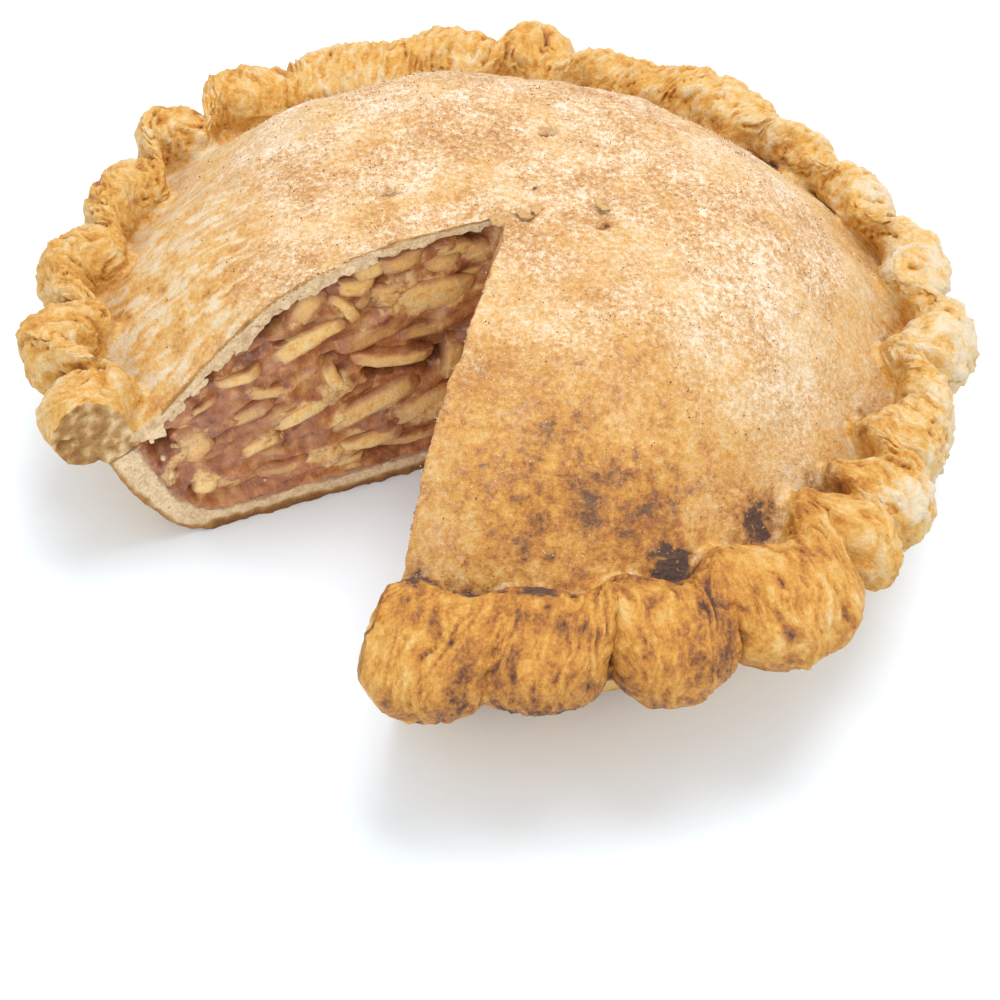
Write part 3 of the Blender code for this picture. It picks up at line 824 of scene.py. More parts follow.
def crust_material(crust):
    """Baked pastry from its toasting, sugar and burns, with fibres on the rim and grain all over; the toasting
    also holds painted shade and light, and the rim's fibres are painted paler on their ridges and darker in their
    grooves.
    """
    material, tree, shader = new_material("golden_crust")
    place = place_of(tree)
    fine = noise_node(tree, place, 1.0, detail=5.0, roughness=0.68)
    mottle = noise_node(tree, place, 2.4, detail=5.0, roughness=0.72)
    medium = noise_node(tree, place, 4.5, detail=4.0, roughness=0.6)
    blotches = noise_node(tree, place, 6.5, detail=4.0, roughness=0.6)
    large = noise_node(tree, place, 17.0, detail=3.0)
    fibre = add_node(tree, "ShaderNodeAttribute", attribute_name="fibre").outputs["Vector"]
    strands = noise_node(tree, fibre, 1.5, detail=3.5, roughness=0.62)
    toast, rim, sugar = attribute(tree, "toast"), attribute(tree, "rim"), attribute(tree, "sugar")
    on_lid = maths(tree, "SUBTRACT", 1.0, rim)
    bare = product(tree, on_lid, maths(tree, "SUBTRACT", 1.0, sugar))
    level = total(
        tree,
        toast,
        around(tree, fine, 0.75),
        around(tree, medium, 0.40),
        product(tree, around(tree, mottle, 1.2), on_lid),
        product(tree, around(tree, blotches, 1.6), bare),
        around(tree, large, 0.45),
        # Strands on the rim: paler where the fibre ridges stand up and darker in their grooves, as painted light
        # and shade.
        product(tree, around(tree, strands, -0.85), rim),
        clamp=True,
    )
    stops = (
        (0.0, (0.76, 0.63, 0.44)),
        (0.22, tuple(crust.pale)),
        (0.44, tuple(crust.golden)),
        (0.64, (0.57, 0.245, 0.042)),
        (0.82, tuple(crust.brown)),
        (1.0, (0.11, 0.045, 0.024)),
    )
    baked = ramp(tree, level, stops)

    # Sugar and spice baked onto the lid: pale crystals and brown specks over a mottled tan ground.
    ground = total(
        tree,
        around(tree, noise_node(tree, place, 1.4, detail=6.0, roughness=0.85), 2.9),
        0.5,
        around(tree, blotches, 0.7),
        around(tree, large, -0.7),
        around(tree, total(tree, toast, 0.2), -0.35),
    )
    grounds = (
        (0.14, (0.42, 0.18, 0.06)),
        (0.34, (0.57, 0.30, 0.105)),
        (0.50, (0.68, 0.42, 0.20)),
        (0.64, (0.77, 0.57, 0.36)),
        (0.80, (0.88, 0.78, 0.64)),
    )
    sugared = blend(tree, baked, ramp(tree, ground, grounds), product(tree, sugar, 0.9))
    patches = span(tree, noise_node(tree, place, 3.2, detail=5.0, roughness=0.7), 0.44, 0.60)
    crystals = product(tree, span(tree, cells_node(tree, place, 0.62), 0.34, 0.14), patches, sugar)
    sugared = blend(tree, sugared, (0.86, 0.78, 0.68), product(tree, crystals, 0.8))
    specks = span(tree, cells_node(tree, place, 1.3), 0.21, 0.13)
    specks = product(tree, specks, sugar, span(tree, medium, 0.40, 0.56))
    sugared = blend(tree, sugared, (0.20, 0.07, 0.035), product(tree, specks, 0.8))

    # Burnt marks with ragged edges.
    ragged = total(tree, attribute(tree, "burn"), around(tree, medium, 1.3), around(tree, mottle, 0.9))
    warm, black = span(tree, ragged, 0.22, 0.56), span(tree, ragged, 0.50, 0.74)
    colour = blend(tree, sugared, (0.37, 0.135, 0.040), product(tree, warm, 0.62))
    ash = ramp(tree, fine, ((0.35, (0.05, 0.028, 0.024)), (0.7, (0.13, 0.085, 0.078))))
    colour = blend(tree, colour, ash, product(tree, black, 0.92))
    tree.links.new(colour, shader.inputs["Base Color"])

    tree.links.new(span(tree, medium, 0.35, 0.7, 0.46, 0.68), shader.inputs["Roughness"])
    shader.inputs["Specular IOR Level"].default_value = 0.35
    grain = noise_node(tree, place, 0.75, detail=5.0, roughness=0.75)
    height = total(
        tree,
        product(tree, fine, 0.7),
        product(tree, grain, 0.6),
        product(tree, crystals, 0.35),
        product(tree, strands, rim, 1.3),
    )
    bump(tree, shader, height, 0.9, 0.8)
    return material


def crumb_material(crust):
    """Cut pastry: pale, porous and dry, browner towards its outside."""
    material, tree, shader = new_material("crust_crumb")
    place = place_of(tree)
    fine = noise_node(tree, place, 0.9, detail=5.0, roughness=0.7)
    medium = noise_node(tree, place, 4.0, detail=4.0, roughness=0.6)
    stops = (
        (0.32, (0.62, 0.40, 0.20)),
        (0.43, (0.74, 0.52, 0.29)),
        (0.54, tuple(crust.crumb)),
        (0.70, (0.90, 0.77, 0.57)),
    )
    layers = ramp(tree, total(tree, product(tree, fine, 0.6), product(tree, medium, 0.4)), stops)
    toast = attribute(tree, "toast")
    shade = total(tree, toast, around(tree, medium, 0.5), around(tree, fine, 0.4), clamp=True)
    browns = ((0.35, (0.60, 0.36, 0.135)), (0.7, (0.36, 0.17, 0.055)), (1.0, (0.15, 0.065, 0.03)))
    colour = blend(tree, layers, ramp(tree, shade, browns), span(tree, shade, 0.14, 0.5))
    stain = span(tree, total(tree, attribute(tree, "stain"), around(tree, medium, 0.7)), 0.15, 0.85)
    colour = blend(tree, colour, (0.43, 0.215, 0.12), product(tree, stain, 0.85))
    pores = product(tree, span(tree, cells_node(tree, place, 1.3), 0.24, 0.1), span(tree, medium, 0.45, 0.6))
    colour = blend(tree, colour, (0.42, 0.24, 0.11), product(tree, pores, 0.6))
    tree.links.new(colour, shader.inputs["Base Color"])
    shader.inputs["Roughness"].default_value = 0.8
    shader.inputs["Specular IOR Level"].default_value = 0.2
    bump(tree, shader, maths(tree, "SUBTRACT", fine, product(tree, pores, 0.8)), 0.9, 0.8)
    return material


def mark_field(rows, angle, radius):
    """How strongly a list of marks covers each place."""
    field = np.zeros(len(angle))
    for mark_angle, distance, round_size, out_size, strength in rows:
        off = (angle - mark_angle + 180.0) % 360.0 - 180.0
        round_way = np.radians(off) * distance / round_size
        out_way = (radius - distance) / out_size
        field = np.maximum(field, strength * np.exp(-(round_way**2 + out_way**2) * 0.9))
    return field


def ring_noise(turn, way, size, length, seed):
    """Noise on the rim's ring without a seam, in lumps of a size round it and a length across it."""
    ring = 120.0 / size
    return noise(np.stack([ring * np.cos(turn), ring * np.sin(turn), way / length], 1), seed)


def rim_fibres(way, angle, across):
    """Ridges that run over the rim from the valley outwards, from -1 to 1, cracks from 0 to 1, and their turn."""
    turn = np.radians(angle)
    sway = 3.0 * ring_noise(turn, way, 9.0, 12.0, 5) + 1.7 * ring_noise(turn, way, 4.5, 6.5, 6)
    turn = turn + (sway + across * (way - 132.0) * 0.05) / 120.0
    coarse = ring_noise(turn, way, 2.7, 11.0, 11)
    middle = ring_noise(turn, way, 1.5, 7.0, 12)
    ridges = 1.0 - 4.0 * np.abs(coarse) + 1.1 * middle
    patch = ease(ring_noise(turn, way, 10.0, 9.0, 21), -0.3, 0.25)
    ridges = np.clip(ridges * mix(0.3, 1.0, patch), -1.3, 1.2)
    line = ring_noise(turn, way, 5.0, 24.0, 14)
    where = ease(ring_noise(turn, way, 8.0, 8.0, 15), 0.02, 0.2)
    cracks = (1.0 - ease(np.abs(line), 0.0, 0.06)) * where
    return ridges, cracks, turn


def top_crust_relief(body, crust, way, angle):
    """Moves the top crust's skin in and out as baked pastry is, and stores its toasting with painted shade and
    light mixed in, its sugar and its burns.
    """
    points = points_of(body)
    normals = normals_of(body)
    radius = np.hypot(points[:, 0], points[:, 1])
    place = np.degrees(np.arctan2(points[:, 1], points[:, 0])) % 360.0
    full, across, depth, _, _ = flutes_at(angle)
    swing = swing_at(angle)
    on_rim = ease(way, 100.0, 116.0) * (1.0 - ease(way, 164.0, 173.0))
    on_lid = 1.0 - ease(way, 92.0, 104.0)
    above = 1.0 - ease(way, 170.0, 177.0)

    lumps = rough(points, 26.0, 2, 41) + 0.55 * rough(points, 11.0, 2, 42)
    skin = 0.42 * rough(points, 5.0, 2, 43) + 0.20 * rough(points, 2.2, 2, 44)
    move = on_lid * (crust.lump_height * lumps + skin)

    ridges, cracks, fibre_turn = rim_fibres(way, angle, across)
    whole = ease(np.minimum(np.abs(place - LEFT_CUT), np.abs(place - RIGHT_CUT)), 1.0, 5.0)
    cracks = cracks * whole * (1.0 - 0.75 * bell(angle, 280.0, 34.0))
    knobs = rough(points, 9.0, 2, 51) * 1.15 + rough(points, 4.0, 2, 52) * 0.45
    shelf = rough(points * np.array([1.0, 1.0, 0.8]), 6.5, 2, 53) * 2.6
    shelf = np.abs(shelf % 1.0 - 0.5) * 2.0
    flakes = ease(shelf, 0.05, 0.32) * 0.5
    quiet = 1.0 - 0.62 * bell(angle, 280.0, 34.0)
    flaky = crust.flake_depth * quiet * ridges * (0.5 + 0.5 * ease(way, 110.0, 126.0))
    rim_move = knobs + flaky + flakes - 1.0 * cracks
    pinch = quiet * (1.0 - ease(full, 0.0, 0.34)) * ease(depth, 0.5, 3.0) * ease(way, 130.0, 142.0)
    rim_move -= 0.7 * pinch
    move += on_rim * rim_move * (0.35 + 0.65 * whole)

    holes = np.zeros(len(points))
    for vent_angle, distance, half_length, half_width, turn, deep in VENTS:
        vent_x, vent_y = polar(vent_angle, distance)
        u, v = tilted(points[:, 0] - vent_x, points[:, 1] - vent_y, turn)
        reach = np.hypot(u / half_length, v / half_width)
        hole = 1.0 - ease(reach, 0.35, 1.0)
        holes = np.maximum(holes, 1.0 - ease(reach, 0.5, 1.1))
        lip = np.exp(-(((reach - 1.35) / 0.35) ** 2))
        move += above * (way < LID_RUN) * (0.35 * lip - deep * hole)
    set_points(body, points + normals * (move * above)[:, None])

    front, left = bell(place, 285.0, 45.0), bell(place, 188.0, 30.0)
    steep = ease(radius, 52.0, 76.0) * on_lid
    toast = 0.32 + 0.12 * rough(points, 24.0, 2, 61) + on_lid * mark_field(BROWNED, place, radius)
    # Darker towards the front of the lid: partly real toasting, partly painted shade on the side turned away from
    # the light.
    toast += 0.20 * front * on_lid * ease(radius, 15.0, 85.0)
    # Lighter on the lid's front right: painted light.
    toast -= 0.16 * bell(place, 338.0, 26.0) * on_lid * ease(radius, 40.0, 70.0)
    toast -= 0.12 * bell(place, 150.0, 40.0) * on_lid * ease(radius, 20.0, 60.0)
    turn = np.radians(place)
    streaks = ring_noise(turn, radius, 5.2, 9.0, 62) + 0.7 * ring_noise(turn, radius, 2.2, 4.5, 63)
    toast += steep * left * (0.10 - 0.62 * ease(streaks, 0.0, 0.4))
    # Rim colour: ridge tops paler, cracks and pinched creases darker; painted light on the ridges and painted
    # shade in the cracks and creases.
    rim_toast_light_and_shade = 0.38 - 0.18 * ridges + 0.40 * cracks + 0.22 * pinch
    # Darker at the front of the rim, partly real toasting and partly painted shade; lighter on the rim's right as
    # painted light.
    rim_toast_light_and_shade += 0.18 * rough(points, 13.0, 2, 64) + 0.30 * front - 0.15 * bell(place, 8.0, 40.0)
    pale_patches = ease(rough(points, 9.0, 2, 65), -0.05, 0.3)
    # Paler on the right of the rim: partly pale patches, partly painted light.
    rim_toast_light_and_shade -= 0.42 * bell(place, 348.0, 34.0) * ease(way, 126.0, 142.0) * (0.3 + 0.7 * pale_patches)
    # Darker on the lower outside and underside of the roll: painted shade.
    rim_toast_light_and_shade += 0.16 * ease(way, 148.0, 160.0)
    # Darker in the valley beside the thumb hollows: painted shade.
    rim_toast_light_and_shade += 0.10 * swing * ease(way, 92.0, 100.0) * (1.0 - ease(way, 110.0, 122.0))
    add_attribute(body, "toast", np.clip(mix(toast, rim_toast_light_and_shade, on_rim), 0.0, 1.0))

    sugar = on_lid * (1.0 - 0.75 * steep * left) * (1.0 - 0.55 * ease(radius, 84.0, 98.0))
    strewn = 0.62 + 0.5 * ease(rough(points, 18.0, 2, 66), -0.4, 0.3)
    sugar *= (1.0 - 0.85 * front * ease(radius, 15.0, 75.0)) * strewn
    add_attribute(body, "sugar", np.clip(sugar * above, 0.0, 1.0))

    # Darker inside the vents: partly baked brown, partly painted shade in the holes.
    burn = np.maximum(mark_field(SPOTS, place, radius), 0.55 * holes) * above
    speck_x, speck_y = polar(61.0, 11.8)
    burn = np.maximum(burn, 0.9 * (np.hypot(points[:, 0] - speck_x, points[:, 1] - speck_y) < 1.4) * above)
    add_attribute(body, "burn", burn)
    add_attribute(body, "rim", on_rim)
    add_attribute(body, "stain", np.zeros(len(points)))
    ring = np.stack([120.0 * np.cos(fibre_turn), 120.0 * np.sin(fibre_turn), way / 2.8], 1)
    add_vector(body, "fibre", ring * MM)


def dress_top_cut(body):
    """Crumbles the top crust's cut edges and stores how its cut faces are toasted."""
    on_cut, on_edge = cut_vertices(body)
    points = points_of(body)
    wobble = rough(points, 3.0, 2, 111)
    toast, stain = read_attribute(body, "toast"), read_attribute(body, "stain")
    moved = points.copy()
    for angle, side in CUTS:
        along, away = face_place(points, angle, side)
        here = on_cut & (along > 0.5) & (away > -6.0) & (away < 6.0)
        top = dome(along, np.full(len(along), angle))
        below = top - points[:, 2]
        lid = here & (along < 94.0)
        upper = lid & on_edge & (below < 2.0)
        lower = lid & on_edge & (below >= 2.0)
        turn = math.radians(angle)
        free = np.array([-side * math.sin(turn), side * math.cos(turn), 0.0])
        worn = (0.35 + 0.5 * np.abs(wobble[upper])) * ease(along[upper], 5.0, 30.0)
        if side < 0.0:
            moved[lid] -= np.outer(0.4 * below[lid] * ease(along[lid], 5.0, 30.0), free)
            worn = 0.3 * worn
        moved[upper] -= np.outer(worn, free)
        moved[upper, 2] -= 0.15 + 0.3 * np.abs(wobble[upper])
        moved[lower, 2] -= np.clip(1.5 * wobble[lower] + 0.15, 0.0, 1.6)
        toast = np.where(lid, 0.62 * (1.0 - ease(below + 0.25 * wobble, 0.35, 1.25)), toast)
        toast = np.where(here & (along >= 94.0), mix(0.2, 0.54, ease(along, 98.0, 112.0)) + 0.4 * wobble, toast)
        stain = np.where(lid, ease(below + 0.5 * wobble, 2.3, 4.2) * 0.55, stain)
    set_points(body, moved)
    write_attribute(body, "toast", toast)
    write_attribute(body, "stain", stain)

    # The rim's end on the right is sealed and baked like the rest of the rim.
    along, away = face_place(points, RIGHT_CUT, -1.0)
    end = on_cut & (np.abs(away) < 6.0) & (along > 96.0)
    slots = slots_of(body)
    face_along, face_away = face_place(face_centres(body), RIGHT_CUT, -1.0)
    slots[(slots == 1) & (np.abs(face_away) < 6.0) & (face_along > 97.0)] = 0
    body.data.polygons.foreach_set("material_index", slots)
    write_attribute(body, "toast", np.where(end, 0.5 + 0.3 * wobble, toast))
    write_attribute(body, "rim", np.where(end, 1.0, read_attribute(body, "rim")))
    fibre = fetched(body.data.attributes["fibre"].data, "vector", 3, np.float32)
    fibre[end] = np.stack([points[end, 2], 0.0 * points[end, 2], along[end] / 7.0], 1) * MM
    body.data.attributes["fibre"].data.foreach_set("vector", fibre.ravel())


def set_back(way, angle):
    """The angles round the pie with the lid's cut edge on the right set back between apex and middle."""
    radius = np.minimum(way, ROOF_RUN - way)
    beyond = (angle - RIGHT_CUT + 1.0) % 360.0 - 1.0
    shift = np.degrees(1.7 / np.maximum(radius, 6.0)) * ease(radius, 3.0, 12.0) * (1.0 - ease(radius, 50.0, 58.0))
    return angle + shift * (1.0 - ease(beyond, 0.0, 20.0)) * (beyond < 20.0)


def settled(way, angle):
    """The angles of the flutes and dome that bring the sheet's two borders onto the cut planes.

    The rope-like rim leans round the pie, so a border at one angle of the sheet would wander off its plane.
    """
    wanted = set_back(way, angle)
    beyond = (angle - RIGHT_CUT + 1.0) % 360.0 - 1.0
    share = 1.0 - ease(np.minimum(beyond, SWEEP - beyond), 0.0, 22.0)
    turned = wanted.copy()
    for _ in range(4):
        points = top_crust_point(way, turned)
        actual = np.degrees(np.arctan2(points[:, 1], points[:, 0]))
        off = (wanted - actual + 180.0) % 360.0 - 180.0
        turned += np.clip(off, -12.0, 12.0) * share * (np.hypot(points[:, 0], points[:, 1]) > 0.5)
    return turned


def top_relief_left(along, height):
    """The lid's cut edge and the rim's end on the left: crumbly, with a hole in the roll."""
    spots = spots_on(along, height)
    relief = 0.35 * rough(spots, 2.4, 3, 71) + 0.35 * rough(spots, 9.0, 2, 72)
    hole = np.hypot((along - 118.5) / 2.6, (height - 45.5) / 1.5)
    relief -= 3.4 * (1.0 - ease(hole, 0.4, 1.0))
    worn = ease(along, 104.0, 112.0)
    relief += worn * (1.1 * rough(spots, 4.5, 3, 73) - 0.6)
    return relief


def top_relief_right(along, height):
    """The lid's cut edge and the rounded end of the rim on the right."""
    spots = spots_on(along, height, 40.0)
    relief = 0.35 * rough(spots, 2.4, 3, 75) + 0.45 * rough(spots, 10.0, 2, 76)
    out = (along - 110.0) / 17.0
    up = (height - 47.0) / 12.0
    relief += 2.6 * np.clip(1.0 - out**2 - up**2, 0.0, 1.0) * ease(along, 92.0, 98.0)
    return relief


class PIE_OT_top_crust(bpy.types.Operator):
    """Builds the domed lid and fluted rim, with flakes, cracks, vents and toasting"""

    bl_idname = "pie.top_crust"
    bl_label = "Top crust"

    def execute(self, context):
        crust = context.scene.pie_crust
        finer = [(13.0, 183.0), (30.0, 173.0), (100.0, 161.0)]
        rows = (*LID_ROWS, *RIM_ROWS, *UNDER_ROWS)
        body = wedged_sheet(
            "top_crust_skin",
            rows,
            94,
            finer,
            lambda way, angle: top_crust_point(way, settled(way, angle)),
        )
        way = read_attribute(body, "way")
        top_crust_relief(body, crust, way, settled(way, read_attribute(body, "round")))
        body.data.materials.append(crust_material(crust))
        body.data.materials.append(crumb_material(crust))
        close_cuts(body, CUT_GRID)
        roughen_cut(body, (top_relief_left, top_relief_right), 4.5)
        dress_top_cut(body)
        finish_mesh(body)
        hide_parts("top_crust")
        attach(body, "root")
        return {"FINISHED"}


# The bottom crust


def bottom_material(crust):
    """The underside and wall of the bottom crust: pale tan, browner at the heel and base."""
    material, tree, shader = new_material("pale_crust")
    place = place_of(tree)
    fine = noise_node(tree, place, 1.2, detail=5.0, roughness=0.68)
    medium = noise_node(tree, place, 7.0, detail=4.0, roughness=0.6)
    toast = attribute(tree, "toast")
    level = total(tree, toast, around(tree, fine, 0.5), around(tree, medium, 0.5), clamp=True)
    golden, brown = tuple(crust.golden), tuple(crust.brown)
    stops = ((0.05, (0.72, 0.56, 0.35)), (0.35, (0.62, 0.38, 0.16)), (0.6, golden), (0.9, brown))
    colour = ramp(tree, level, stops)
    colour = blend(tree, colour, (0.40, 0.19, 0.10), attribute(tree, "stain"))
    tree.links.new(colour, shader.inputs["Base Color"])
    shader.inputs["Roughness"].default_value = 0.75
    shader.inputs["Specular IOR Level"].default_value = 0.25
    bump(tree, shader, total(tree, fine, medium), 0.7, 0.7)
    return material


def bowl_relief_left(along, height):
    """The bottom crust's cut face on the left, crumbled along its toasted underside."""
    spots = spots_on(along, height, 80.0)
    relief = 0.35 * rough(spots, 2.2, 3, 81) + 0.4 * rough(spots, 8.0, 2, 82)
    ragged = (1.0 - ease(height, 0.6, 2.4)) * ease(along, 12.0, 30.0)
    return relief + ragged * (0.7 * rough(spots, 3.4, 3, 83) + 0.1)


def bowl_relief_right(along, height):
    """The bottom crust's cut face on the right."""
    spots = spots_on(along, height, 120.0)
    return 0.3 * rough(spots, 2.2, 3, 84) + 0.3 * rough(spots, 8.0, 2, 85)


class PIE_OT_bottom_crust(bpy.types.Operator):
    """Builds the deep bowl under the filling"""

    bl_idname = "pie.bottom_crust"
    bl_label = "Bottom crust"

    def execute(self, context):
        crust = context.scene.pie_crust
        profile = [(0.0, FLOOR_THICKNESS + 0.6), *BOWL_INSIDE, *BOWL_OUTSIDE, (0.0, 0.0)]
        runs = runs_along(profile)
        rows = np.linspace(0.0, runs[-1], 118)
        rows = np.unique(np.concatenate([rows, runs]))
        reach, level = [point[0] for point in profile], [point[1] for point in profile]

        def place(way, angle):
            x, y = polar(angle, np.interp(way, runs, reach))
            return np.stack([x, y, np.interp(way, runs, level)], 1)

        body = wedged_sheet("bottom_crust_skin", rows, 154, [], place)
        points = points_of(body)
        radius = np.hypot(points[:, 0], points[:, 1])
        outside = ease(radius - np.interp(points[:, 2], (0.0, 9.5, 39.0), (84.0, 93.0, 104.0)), -3.0, 3.0)
        wall = outside * ease(points[:, 2], 0.3, 3.0)
        move = wall * (0.55 * rough(points, 9.0, 3, 86) + 0.18 * rough(points, 3.0, 2, 87) - 0.2)
        set_points(body, points + normals_of(body) * move[:, None])
        low = 1.0 - ease(points[:, 2], 1.0, 18.0)
        toast = 0.42 + 0.35 * low + 0.12 * rough(points, 15.0, 2, 88)
        add_attribute(body, "toast", np.clip(toast, 0.0, 1.0))
        add_attribute(body, "stain", 1.0 - outside)
        body.data.materials.append(bottom_material(crust))
        body.data.materials.append(bpy.data.materials["crust_crumb"])
        close_cuts(body, CUT_GRID)
        roughen_cut(body, (bowl_relief_left, bowl_relief_right), 4.5)
        mark_crumb(body)
        finish_mesh(body)
        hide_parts("bottom_crust")
        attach(body, "root")
        return {"FINISHED"}


def mark_crumb(body):
    """Browns the bottom crust's cut faces towards their outside, and stains them beside the sauce."""
    on_cut, on_edge = cut_vertices(body)
    points = points_of(body)
    radius = np.hypot(points[:, 0], points[:, 1])
    outside, inside = np.array(BOWL_OUTSIDE[5::-1]), np.array(BOWL_INSIDE[2:])
    outer = np.interp(points[:, 2], outside[:, 1], outside[:, 0])
    inner = np.interp(points[:, 2], inside[:, 1], inside[:, 0])
    wobble = rough(points, 4.0, 2, 121)
    browned = np.maximum(
        0.85 * (1.0 - ease(points[:, 2] - 1.4 * wobble, 0.4, 5.2)),
        0.62 * (1.0 - ease((outer - radius) * 0.8 - 0.8 * wobble, 0.2, 2.6)),
    )
    floor = np.interp(radius, (80.0, 86.0), (7.3, 9.5))
    depth = np.hypot(0.85 * np.maximum(radius - inner, 0.0), np.maximum(floor - points[:, 2], 0.0))
    near = 0.85 * (1.0 - ease(depth + 1.0 * wobble, 0.1, 2.2))
    write_attribute(body, "toast", np.where(on_cut, browned, read_attribute(body, "toast")))
    write_attribute(body, "stain", np.where(on_cut & ~on_edge, near, read_attribute(body, "stain")))
    moved = points.copy()
    low = on_edge & (points[:, 2] < 1.5) & (radius > 10.0)
    moved[low, 2] = np.maximum(moved[low, 2] + 0.25 * np.abs(wobble[low]), 0.0)
    set_points(body, moved)


# The filling

# Hollows in the left cut face: (distance, height, half length, half height, tilt, depth).
HOLLOWS = (
    (30.0, 41.2, 10.0, 2.8, 8.0, 9.0),
    (18.0, 40.5, 6.5, 5.0, 0.0, 9.0),
    (63.5, 68.6, 9.5, 4.2, -36.0, 9.0),
    (39.0, 78.4, 8.0, 3.8, -10.0, 8.0),
    (52.0, 75.4, 6.5, 3.2, -24.0, 7.0),
    (5.5, 80.5, 9.0, 4.6, 0.0, 8.0),
    (80.0, 56.4, 9.0, 2.6, -46.0, 6.0),
    (24.0, 81.0, 9.0, 2.4, -3.0, 5.0),
    (94.0, 36.0, 4.5, 5.0, -50.0, 5.0),
    (87.0, 17.5, 1.7, 1.5, 0.0, 3.5),
    (60.0, 22.5, 1.6, 1.6, 0.0, 2.6),
    (58.0, 30.0, 5.5, 2.2, -20.0, 2.2),
    (58.5, 48.0, 7.5, 1.6, -18.0, 2.4),
    (70.0, 57.0, 7.0, 1.5, -24.0, 2.2),
    (47.0, 51.0, 5.5, 1.6, 4.0, 2.4),
    (75.0, 34.0, 5.0, 1.5, -15.0, 2.2),
    (35.0, 71.8, 10.0, 1.3, -6.0, 2.2),
    (66.0, 36.5, 6.0, 1.3, -20.0, 2.2),
    (40.0, 36.8, 7.0, 1.2, -14.0, 2.0),
    (80.0, 24.0, 5.0, 1.3, -10.0, 2.0),
    (52.0, 64.0, 4.5, 1.2, -30.0, 2.0),
)

# Fruit slices on the left cut face: (distance, height, length, thickness, tilt, proud, sauce over it).
LEFT_SLICES = (
    (23.1, 65.2, 29.0, 10.2, 8.0, 1.6, 0.04),
    (53.7, 58.8, 21.0, 5.6, -23.0, 1.6, 0.0),
    (30.9, 46.4, 22.0, 4.6, 10.0, 3.4, 0.10),
    (43.6, 66.5, 13.0, 3.8, 55.0, 1.3, 0.10),
    (46.0, 42.2, 12.0, 4.2, 57.0, 1.3, 0.08),
    (55.2, 34.3, 20.0, 5.4, -23.0, 1.5, 0.0),
    (35.3, 30.2, 26.0, 6.6, -19.0, 1.4, 0.10),
    (21.0, 23.9, 20.0, 9.4, -10.0, 1.4, 0.12),
    (42.5, 16.8, 30.0, 4.6, 1.0, 1.5, 0.08),
    (45.2, 12.2, 14.0, 4.2, 15.0, 1.2, 0.15),
    (83.8, 17.4, 7.6, 8.2, 12.0, 1.3, 0.0),
    (90.3, 28.5, 8.0, 4.6, -40.0, -1.2, 0.10),
    (67.8, 26.0, 12.0, 4.6, -14.0, 1.3, 0.10),
    (72.9, 52.1, 13.0, 4.0, -6.0, 1.3, 0.15),
    (65.1, 44.9, 12.0, 4.2, 13.0, 1.3, 0.25),
    (76.4, 62.5, 10.0, 3.0, -44.0, 1.2, 0.20),
    (54.0, 70.0, 12.0, 7.0, -52.0, 1.2, 0.30),
    (12.7, 39.7, 16.0, 6.0, 88.0, 1.2, 0.15),
    (28.8, 77.8, 14.0, 6.0, -4.0, 1.0, 0.32),
    (16.6, 74.2, 11.0, 6.0, 5.0, 1.0, 0.30),
    (6.0, 74.0, 10.0, 7.0, 20.0, 1.0, 0.25),
    (83.0, 45.6, 11.0, 2.2, -30.0, 1.2, 0.45),
    (85.5, 33.0, 10.0, 11.0, -20.0, 1.0, 0.30),
    (93.8, 24.0, 5.0, 5.0, -30.0, 1.0, 0.10),
    (71.0, 39.0, 17.0, 5.0, -18.0, 1.0, 0.42),
    (35.0, 55.0, 22.0, 6.0, -12.0, 1.0, 0.50),
    (22.0, 52.0, 15.0, 4.5, 6.0, 1.0, 0.45),
    (77.0, 16.0, 10.0, 4.0, -6.0, 0.9, 0.50),
    (62.0, 15.0, 16.0, 4.2, -4.0, 1.0, 0.48),
    (26.0, 13.5, 22.0, 4.0, 2.0, 1.0, 0.40),
)
SLICE_DEPTH = 8.0
LAYER_TILT = -16.0


def sauce_relief(along, height, seed):
    """Smooth lumps of cooked sauce with soft ledges that follow the layers of fruit."""
    u, v = tilted(along, height, LAYER_TILT)
    layered = spots_on(u / 2.0, v, seed)
    relief = 1.3 * rough(layered, 8.0, 2, 91, 0.4) + 0.25 * rough(layered, 2.8, 2, 92)
    for size, rise, key in ((7.5, 1.5, 93), (4.0, 0.8, 94)):
        ledge = noise(spots_on(u / (size * 2.4), v / size, seed), key)
        relief += rise * (ease(ledge, -0.10, 0.14) - 0.5)
    return relief


def flesh_field(along, height):
    """How much fruit shows through the sauce round each slice of the left cut face."""
    spots = spots_on(along, height)
    ragged = 0.35 * rough(spots, 6.0, 3, 99)
    field = np.zeros(len(along))
    for distance, level, length, thickness, tilt, _, cover in LEFT_SLICES:
        u, v = tilted(along - distance, height - level, tilt)
        reach = np.hypot(u / (0.62 * length), v / (0.62 * thickness + 1.2)) + ragged
        field = np.maximum(field, (1.0 - cover) * (1.0 - ease(reach, 0.55, 1.2)))
    return field


def sauce_borders(relief, along, height, angle, seed):
    """The sauce shrunk back under the lid, and run out level with the bottom crust."""
    under = roof_at(along, np.full(len(along), angle)) - height
    patchy = noise(np.stack([along / 9.0, 0 * along + seed, 0 * along], 1), 97)
    shrunk = (1.0 - ease(under, 1.0 + 1.6 * np.abs(patchy), 2.6 + 2.4 * np.abs(patchy))) * ease(patchy, -0.35, 0.0)
    inside = np.array(BOWL_INSIDE)
    wall = np.interp(height, inside[2:, 1], inside[2:, 0]) - along
    border = np.minimum(height - np.interp(along, inside[:3, 0], inside[:3, 1]), wall)
    relief = relief - 4.2 * shrunk
    smear = SAUCE_INSET + 0.05 + 0.5 * rough(spots_on(along, height, seed), 3.2, 2, 98)
    return mix(smear, relief, ease(border, 0.3, 3.2))


